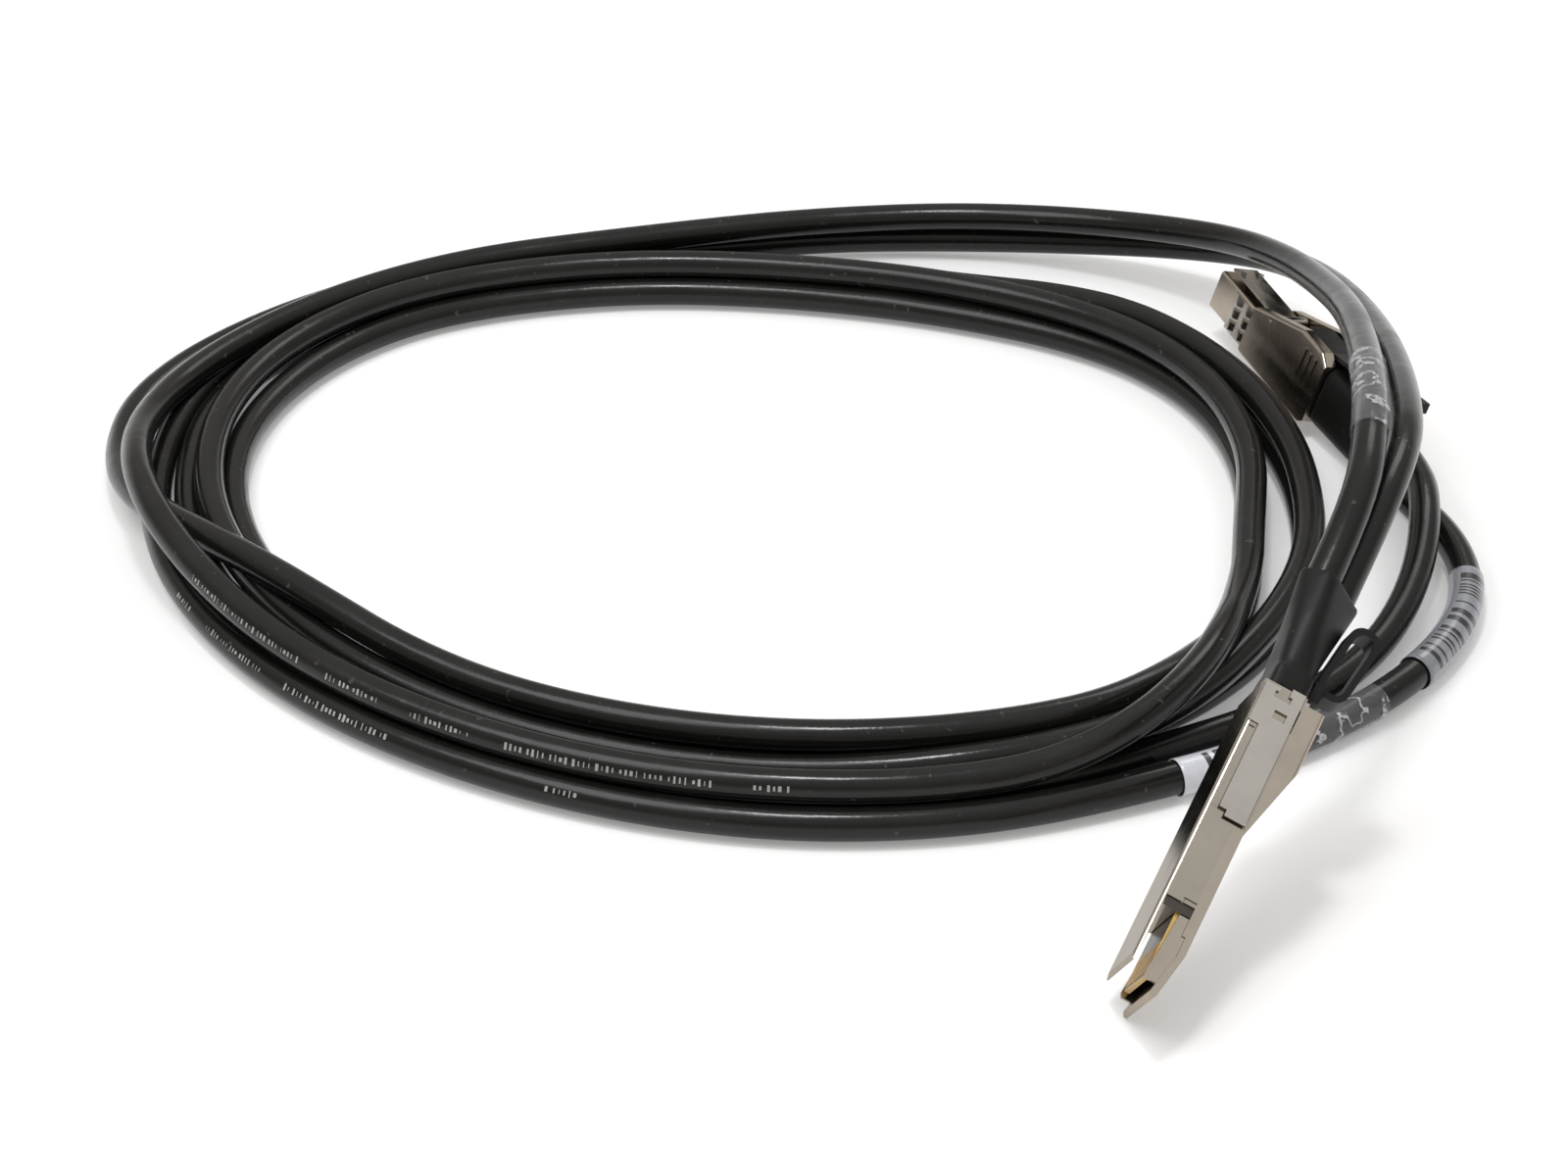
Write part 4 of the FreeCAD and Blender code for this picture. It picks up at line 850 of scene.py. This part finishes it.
@dataclass
class PrintedLine:
    """Generic printed dashes along a cable's jacket, set out by Geometry Nodes.

    A word is a number of dashes that are kept or left out together; lengths and heights are shares of a dash.
    """

    name: str
    span: Tuple[float, float]
    seed: int
    turn: float = 145.0
    spacing: float = 1.2
    dash: float = 0.45
    height: float = 1.5
    lift: float = 0.03
    word: float = 6.0
    kept: float = 0.72
    lengths: Tuple[float, float] = (0.3, 1.5)
    heights: Tuple[float, float] = (0.45, 1.0)
    tree_name: str = "printed_dashes"

    def build(self, line: CableLine) -> bpy.types.Object:
        """Print one stretch of a cable.

        Args:
            line: The cable's middle line.

        Returns:
            The dashes as one plain mesh.
        """
        angle = math.radians(self.turn)
        places, alongs, outs = [], [], []
        for place, ahead in line.walk(self.span, self.spacing * MM):
            side, up = line.across(ahead)
            out = side * math.cos(angle) + up * math.sin(angle)
            places.append(place + out * (CABLE_OD / 2 + self.lift) * MM)
            alongs += list(ahead)
            outs += list(out)
        data = bpy.data.meshes.new(self.name)
        data.from_pydata(places, [], [])
        for label, values in (("along", alongs), ("out", outs)):
            data.attributes.new(label, "FLOAT_VECTOR", "POINT").data.foreach_set("vector", values)
        piece = place_in_scene(self.name, data)
        layer = piece.modifiers.new("print", "NODES")
        layer.node_group = self._tree()
        sockets = {item.name: item.identifier for item in layer.node_group.interface.items_tree}
        inputs = {"Dash Length": self.dash * MM, "Dash Height": self.height * MM, "Seed": self.seed,
                  "Ink": PRINT_INK.material()}
        for label, value in inputs.items():
            layer[sockets[label]] = value
        printed = evaluated_mesh(piece)
        piece.modifiers.remove(layer)
        piece.data = printed
        printed.name = self.name
        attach(piece, Body.CABLE_AND_PLUGS.value)
        return piece

    def _tree(self) -> bpy.types.NodeTree:
        """Find or build the tree that puts a dash on every point, with word gaps.

        Returns:
            The geometry node tree.
        """
        found = bpy.data.node_groups.get(self.tree_name)
        if found:
            return found
        tree = bpy.data.node_groups.new(self.tree_name, "GeometryNodeTree")
        kinds = {"Geometry": "NodeSocketGeometry", "Dash Length": "NodeSocketFloat",
                 "Dash Height": "NodeSocketFloat", "Seed": "NodeSocketInt", "Ink": "NodeSocketMaterial"}
        for label, kind in kinds.items():
            tree.interface.new_socket(label, in_out="INPUT", socket_type=kind)
        tree.interface.new_socket("Geometry", in_out="OUTPUT", socket_type="NodeSocketGeometry")
        canvas = NodeCanvas(tree)
        source, sink = canvas.add("NodeGroupInput").outputs, canvas.add("NodeGroupOutput")
        dash = canvas.add("GeometryNodeMeshGrid", {
            "Size X": source["Dash Length"], "Size Y": source["Dash Height"],
            "Vertices X": 2, "Vertices Y": 2})
        out = canvas.add("GeometryNodeInputNamedAttribute", {"Name": "out"}, data_type="FLOAT_VECTOR")
        along = canvas.add("GeometryNodeInputNamedAttribute", {"Name": "along"}, data_type="FLOAT_VECTOR")
        facing = canvas.add("FunctionNodeAxesToRotation", {0: out.outputs[0], 1: along.outputs[0]},
                            primary_axis="Z", secondary_axis="X")
        index = canvas.add("GeometryNodeInputIndex").outputs[0]
        word = canvas.math("FLOOR", canvas.math("DIVIDE", index, self.word))
        kept = canvas.add("FunctionNodeRandomValue", {
            "ID": word, "Seed": source["Seed"], "Probability": self.kept}, data_type="BOOLEAN")
        stretch = canvas.add("FunctionNodeRandomValue", {
            "Seed": source["Seed"], 2: self.lengths[0], 3: self.lengths[1]}, data_type="FLOAT")
        tall = canvas.add("FunctionNodeRandomValue", {
            "Seed": canvas.math("ADD", source["Seed"], 1.0), 2: self.heights[0], 3: self.heights[1]},
            data_type="FLOAT")
        size = canvas.add("ShaderNodeCombineXYZ", {0: stretch.outputs[1], 1: tall.outputs[1], 2: 1.0})
        laid = canvas.add("GeometryNodeInstanceOnPoints", {
            "Points": source["Geometry"], "Selection": kept.outputs[3], "Instance": dash.outputs["Mesh"],
            "Rotation": facing.outputs[0], "Scale": size.outputs[0]})
        plain = canvas.add("GeometryNodeRealizeInstances", {"Geometry": laid.outputs[0]})
        inked = canvas.add("GeometryNodeSetMaterial", {
            "Geometry": plain.outputs[0], "Material": source["Ink"]})
        canvas.fill(sink, {0: inked.outputs[0]})
        return tree


@dataclass
class CordSet:
    """The two jacketed cables, each one smooth curve from plug to plug, and what is wrapped round them."""

    layout: TableLayout
    lanes: CoilLanes = field(default_factory=CoilLanes)
    routes: CableRoutes = field(default_factory=CableRoutes)
    inset: float = 4.0
    steps: int = 6
    roundness: int = 8

    def build(self, qsfp: PlugFrame, sas: PlugFrame,
              fitted: List[bpy.types.Object]) -> List[bpy.types.Object]:
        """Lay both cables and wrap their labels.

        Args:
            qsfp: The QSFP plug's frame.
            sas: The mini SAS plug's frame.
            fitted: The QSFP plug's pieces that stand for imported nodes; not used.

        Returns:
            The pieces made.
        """
        qsfp_high, qsfp_low = qsfp.exits("qsfp_boot")
        sas_high, sas_low = sas.exits("sas_boot")
        routes, lanes = self.routes, self.lanes
        inner_line = self._line(sas_high, sas, routes.sas_a, lanes.inner, qsfp_low, qsfp, routes.qsfp_b)
        outer_line = self._line(sas_low, sas, routes.sas_b, lanes.outer, qsfp_high, qsfp, routes.qsfp_a)
        inner, outer = self._cable("inner_cable", inner_line), self._cable("outer_cable", outer_line)
        line = CableLine(outer)
        dress = [piece.build(line) for piece in self._dressing(line.bends)]
        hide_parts("sas_cable_a", "qsfp_cable_b", "cable_coil")
        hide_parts("sas_cable_b", "qsfp_cable_a")
        return [inner, outer] + dress

    def _line(self, start: Vector, sas: PlugFrame, out_route: List[Point], keys: List[Point], end: Vector,
              qsfp: PlugFrame, home_route: List[Point]) -> List[Vector]:
        """List one cable's control points, from plug to plug.

        Args:
            start: Where it leaves the mini SAS boot.
            sas: The mini SAS plug's frame.
            out_route: Points from that boot to the coil.
            keys: The coil lanes it takes.
            end: Where it enters the QSFP boot.
            qsfp: The QSFP plug's frame.
            home_route: Points from the QSFP boot back to the coil.

        Returns:
            The points in the part's frame.
        """
        places = [start - sas.along * self.inset * MM, start + sas.along * self.routes.sas_run * MM]
        plan = list(out_route) + self.lanes.points(keys) + list(reversed(home_route))
        places += [self.layout.point(point) for point in plan]
        return places + [end + qsfp.along * self.routes.qsfp_run * MM, end - qsfp.along * self.inset * MM]

    def _cable(self, name: str, places: List[Vector]) -> bpy.types.Object:
        """Lay one cable as a smooth curve.

        Args:
            name: The piece's name.
            places: Its control points.

        Returns:
            The curve object.
        """
        curve = bpy.data.curves.new(name, "CURVE")
        curve.dimensions = "3D"
        curve.resolution_u = self.steps
        curve.bevel_depth = CABLE_OD / 2 * MM
        curve.bevel_resolution = self.roundness
        curve.use_fill_caps = True
        spline = curve.splines.new("NURBS")
        spline.points.add(len(places) - 1)
        for point, place in zip(spline.points, places):
            point.co = (place.x, place.y, place.z, 1.0)
        spline.order_u = 3
        spline.use_endpoint_u = True
        spline.use_smooth = True
        piece = place_in_scene(name, curve)
        curve.materials.append(JACKET_VINYL.material())
        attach(piece, Body.CABLE_AND_PLUGS.value)
        return piece

    def _dressing(self, bends: int) -> List[Union[WrappedFilm, PrintedLine]]:
        """List what the outer cable carries, each at its place from the mini SAS plug on.

        Args:
            bends: Number of the cable's bends.

        Returns:
            Labels, tapes and print, still to be built.
        """
        return [
            WrappedFilm("barcode_wrap", "barcode_label", Slot.LABEL, GREY_LABEL, (2.54, 4.46)),
            WrappedFilm("label_tape_wrap", "label_tape", Slot.FILM, CLEAR_TAPE, (5.04, 5.96)),
            WrappedFilm("front_label_wrap", "front_label", Slot.LABEL, WHITE_LABEL, (6.04, 6.96)),
            WrappedFilm("clear_tape_wrap", "clear_tape", Slot.FILM, CLEAR_TAPE, (bends - 2.96, bends - 1.4)),
            PrintedLine("lower_print", (12, 18), seed=8),
            PrintedLine("upper_print", (90, 97), seed=5, turn=158.0),
        ]


@dataclass
class SoftBoot:
    """A moulded boot whose edges are rounded off, made from its packed form."""

    name: str
    node: str
    cell: float = 0.55
    softness: float = 0.5
    rounds: int = 14

    def build(self) -> bpy.types.Object:
        """Round the boot and dress it.

        Returns:
            The piece.
        """
        piece = place_in_scene(self.name, merged_copy(self.node))
        skin = piece.modifiers.new("skin", "REMESH")
        skin.mode = "VOXEL"
        skin.voxel_size = self.cell * MM
        skin.use_smooth_shade = True
        soft = piece.modifiers.new("soft", "SMOOTH")
        soft.factor = self.softness
        soft.iterations = self.rounds
        rounded = evaluated_mesh(piece)
        piece.modifiers.clear()
        rounded.name = self.name
        rounded.materials.clear()
        rounded.materials.append(BLACK_MOULDING.material())
        piece.data = rounded
        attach(piece, Body.CABLE_AND_PLUGS.value)
        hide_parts(self.node)
        return piece


@dataclass
class ReturnSprings:
    """The folded leaf springs behind the QSFP release slide, which close up as it is pulled back."""

    qsfp: PlugFrame
    name: str = "folded_return_springs"
    node: str = "qsfp_return_springs"
    travel: float = 2.5
    slack: float = 0.1

    def build(self) -> bpy.types.Object:
        """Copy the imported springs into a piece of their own.

        Returns:
            The piece.
        """
        data = merged_copy(self.node)
        data.name = self.name
        data.materials.clear()
        data.materials.append(SPRING_STEEL.material())
        piece = place_in_scene(self.name, data)
        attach(piece, Body.CABLE_AND_PLUGS.value)
        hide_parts(self.node)
        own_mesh(piece)
        return piece


@dataclass
class PlugDress:
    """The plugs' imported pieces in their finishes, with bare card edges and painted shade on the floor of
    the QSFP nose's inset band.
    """

    qsfp: PlugFrame
    band: Tuple[float, float] = (16.2, 18.1)
    band_margin: float = 0.1
    band_slope: float = 0.3
    edge_slope: float = 0.5

    def build(self) -> List[str]:
        """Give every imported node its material.

        Returns:
            Names of the nodes that were dressed.
        """
        dressed = []
        for entry in frame["record"]["subparts"]:
            node = frame["nodes"][entry["node"]]
            slot = Slot(entry["material_slot"])
            node.data.materials.clear()
            node.data.materials.append(NODE_FINISHES[slot].material())
            if slot is Slot.CARD:
                flat = max(node.data.polygons, key=lambda face: face.area).normal.copy()
                faces = node.data.polygons
                edges = [face for face in faces if abs(face.normal.dot(flat)) < self.edge_slope]
                self._second(node, CARD_EDGE, edges)
            dressed.append(entry["node"])
        # painted shade: the inset band's floor faces get the darkened nickel
        shell = frame["nodes"]["qsfp_cover_shell"]
        self._second(shell, PAINTED_SHADE_NICKEL, [face for face in shell.data.polygons if self._in_band(shell, face)])
        return dressed

    def _second(self, node: bpy.types.Object, finish: Finish, faces: List[bpy.types.MeshPolygon]) -> None:
        """Give some of a node's faces a second finish.

        Args:
            node: The node's object.
            finish: The second finish.
            faces: The faces that get it.
        """
        node.data.materials.append(finish.material())
        for face in faces:
            face.material_index = 1

    def _in_band(self, node: bpy.types.Object, face: bpy.types.MeshPolygon) -> bool:
        """Tell whether a face lies on the floor of the inset band.

        Args:
            node: The shell's object.
            face: One of its faces.

        Returns:
            True for a face of the band's floor.
        """
        reach = [(node.data.vertices[v].co - self.qsfp.nose).dot(self.qsfp.along) / MM for v in face.vertices]
        low, high = self.band[0] - self.band_margin, self.band[1] + self.band_margin
        inside = min(reach) > low and max(reach) < high
        return inside and abs(face.normal.dot(self.qsfp.along)) < self.band_slope


@dataclass(frozen=True)
class Lamp:
    """A square soft lamp over the table: its place and size in metres, and its power in watts."""

    name: str
    place: Point
    size: float
    power: float


@dataclass
class Studio:
    """Pale floor, soft lamps, a pale world and the camera at the photograph's angle."""

    layout: TableLayout
    lens_pixels: float = 3300.0
    image_width: float = 1600.0
    sensor: float = 36.0
    elevation: float = 33.0
    distance: float = 0.7
    floor_size: float = 6.0
    floor_gap: float = 0.0004
    floor_lift: float = 0.22
    horizon: Colour = (0.8, 0.8, 0.8)
    middle: Colour = (0.34, 0.315, 0.285)
    zenith: Colour = (0.8, 0.8, 0.8)
    low_rise: Tuple[float, float] = (0.06, 0.3)
    high_rise: Tuple[float, float] = (0.3, 0.9)
    lamps: Tuple[Lamp, ...] = (
        Lamp("key", (-0.5, -0.25, 1.2), 0.7, 5.5),
        Lamp("window", (0.5, 0.9, 1.0), 0.5, 2.0),
        Lamp("strip", (-0.05, -0.12, 1.0), 0.14, 2.6),
    )

    def build(self) -> None:
        """Make the floor, the light and the camera."""
        self._floor()
        self._world()
        self._lamps()
        self._camera()
        bpy.context.scene.view_settings.view_transform = "Standard"

    def _floor(self) -> None:
        """Lay a white floor that keeps the object's shadow."""
        mesh = bmesh.new()
        bmesh.ops.create_grid(mesh, x_segments=1, y_segments=1, size=self.floor_size / 2)
        data = bpy.data.meshes.new("floor")
        mesh.to_mesh(data)
        mesh.free()
        piece = place_in_scene("floor", data)
        piece.location.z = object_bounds()[0][2] - self.floor_gap
        made = bpy.data.materials.new("pale floor")
        made.use_nodes = True
        shader = made.node_tree.nodes["Principled BSDF"]
        canvas = NodeCanvas(made.node_tree)
        rays = canvas.add("ShaderNodeLightPath").outputs
        mirrored = canvas.math("MAXIMUM", rays["Is Glossy Ray"], rays["Is Transmission Ray"])
        seen = canvas.math("MAXIMUM", rays["Is Camera Ray"], mirrored)
        canvas.fill(shader, {"Base Color": (0.8, 0.8, 0.8, 1.0), "Roughness": 0.9,
                             "Emission Color": (1.0, 1.0, 1.0, 1.0),
                             "Emission Strength": canvas.math("MULTIPLY", seen, self.floor_lift)})
        data.materials.append(made)
        piece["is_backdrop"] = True

    def _world(self) -> None:
        """Light the scene softly all round, from a pale horizon over a darker middle to a pale zenith."""
        world = bpy.data.worlds.new("studio")
        bpy.context.scene.world = world
        world.use_nodes = True
        canvas = NodeCanvas(world.node_tree)
        back = world.node_tree.nodes["Background"]
        place = canvas.add("ShaderNodeTexCoord").outputs["Generated"]
        rise = canvas.add("ShaderNodeSeparateXYZ", {0: place}).outputs["Z"]
        wall = canvas.mix(canvas.ramp(rise, *self.low_rise), self.horizon + (1.0,), self.middle + (1.0,))
        sky = canvas.mix(canvas.ramp(rise, *self.high_rise), wall, self.zenith + (1.0,))
        canvas.fill(back, {"Color": sky, "Strength": 1.0})

    def _lamps(self) -> None:
        """Hang the key and window lamps and the small one that lights the cables' highlights."""
        for lamp in self.lamps:
            light = bpy.data.lights.new(lamp.name, "AREA")
            light.energy = lamp.power
            light.size = lamp.size
            piece = place_in_scene(lamp.name, light)
            piece.location = Vector(lamp.place) + self.layout.shift
            aim = self.layout.shift - piece.location
            piece.rotation_euler = aim.to_track_quat("-Z", "Y").to_euler()

    def _camera(self) -> None:
        """Set the camera where the photograph was taken from."""
        data = bpy.data.cameras.new("photo camera")
        data.sensor_width = self.sensor
        data.lens = self.lens_pixels / self.image_width * self.sensor
        data.clip_start = 0.01
        piece = place_in_scene("photo camera", data)
        tilt = math.radians(self.elevation)
        forward = Vector((0.0, math.cos(tilt), -math.sin(tilt)))
        piece.location = self.layout.shift - forward * self.distance
        piece.rotation_euler = forward.to_track_quat("-Z", "Y").to_euler()
        bpy.context.scene.camera = piece


def main() -> None:
    """Build every sub-assembly in order."""
    logging.basicConfig(level=logging.INFO, format="%(message)s")
    layout = TableLayout()
    qsfp, sas = PlugFrame("qsfp_nose"), PlugFrame("sas_nose")
    dressed = PlugDress(qsfp).build()
    LOG.info("dressed %d packed nodes", len(dressed))
    fitted = [SoftBoot("qsfp_soft_boot", "qsfp_boot").build(), ReturnSprings(qsfp).build()]
    sas_boot = SoftBoot("sas_soft_boot", "sas_boot").build()
    for piece in fitted + [sas_boot] + CordSet(layout).build(qsfp, sas, fitted):
        LOG.info("built %s", piece.name)
    Studio(layout).build()


if __name__ == "__main__":
    main()
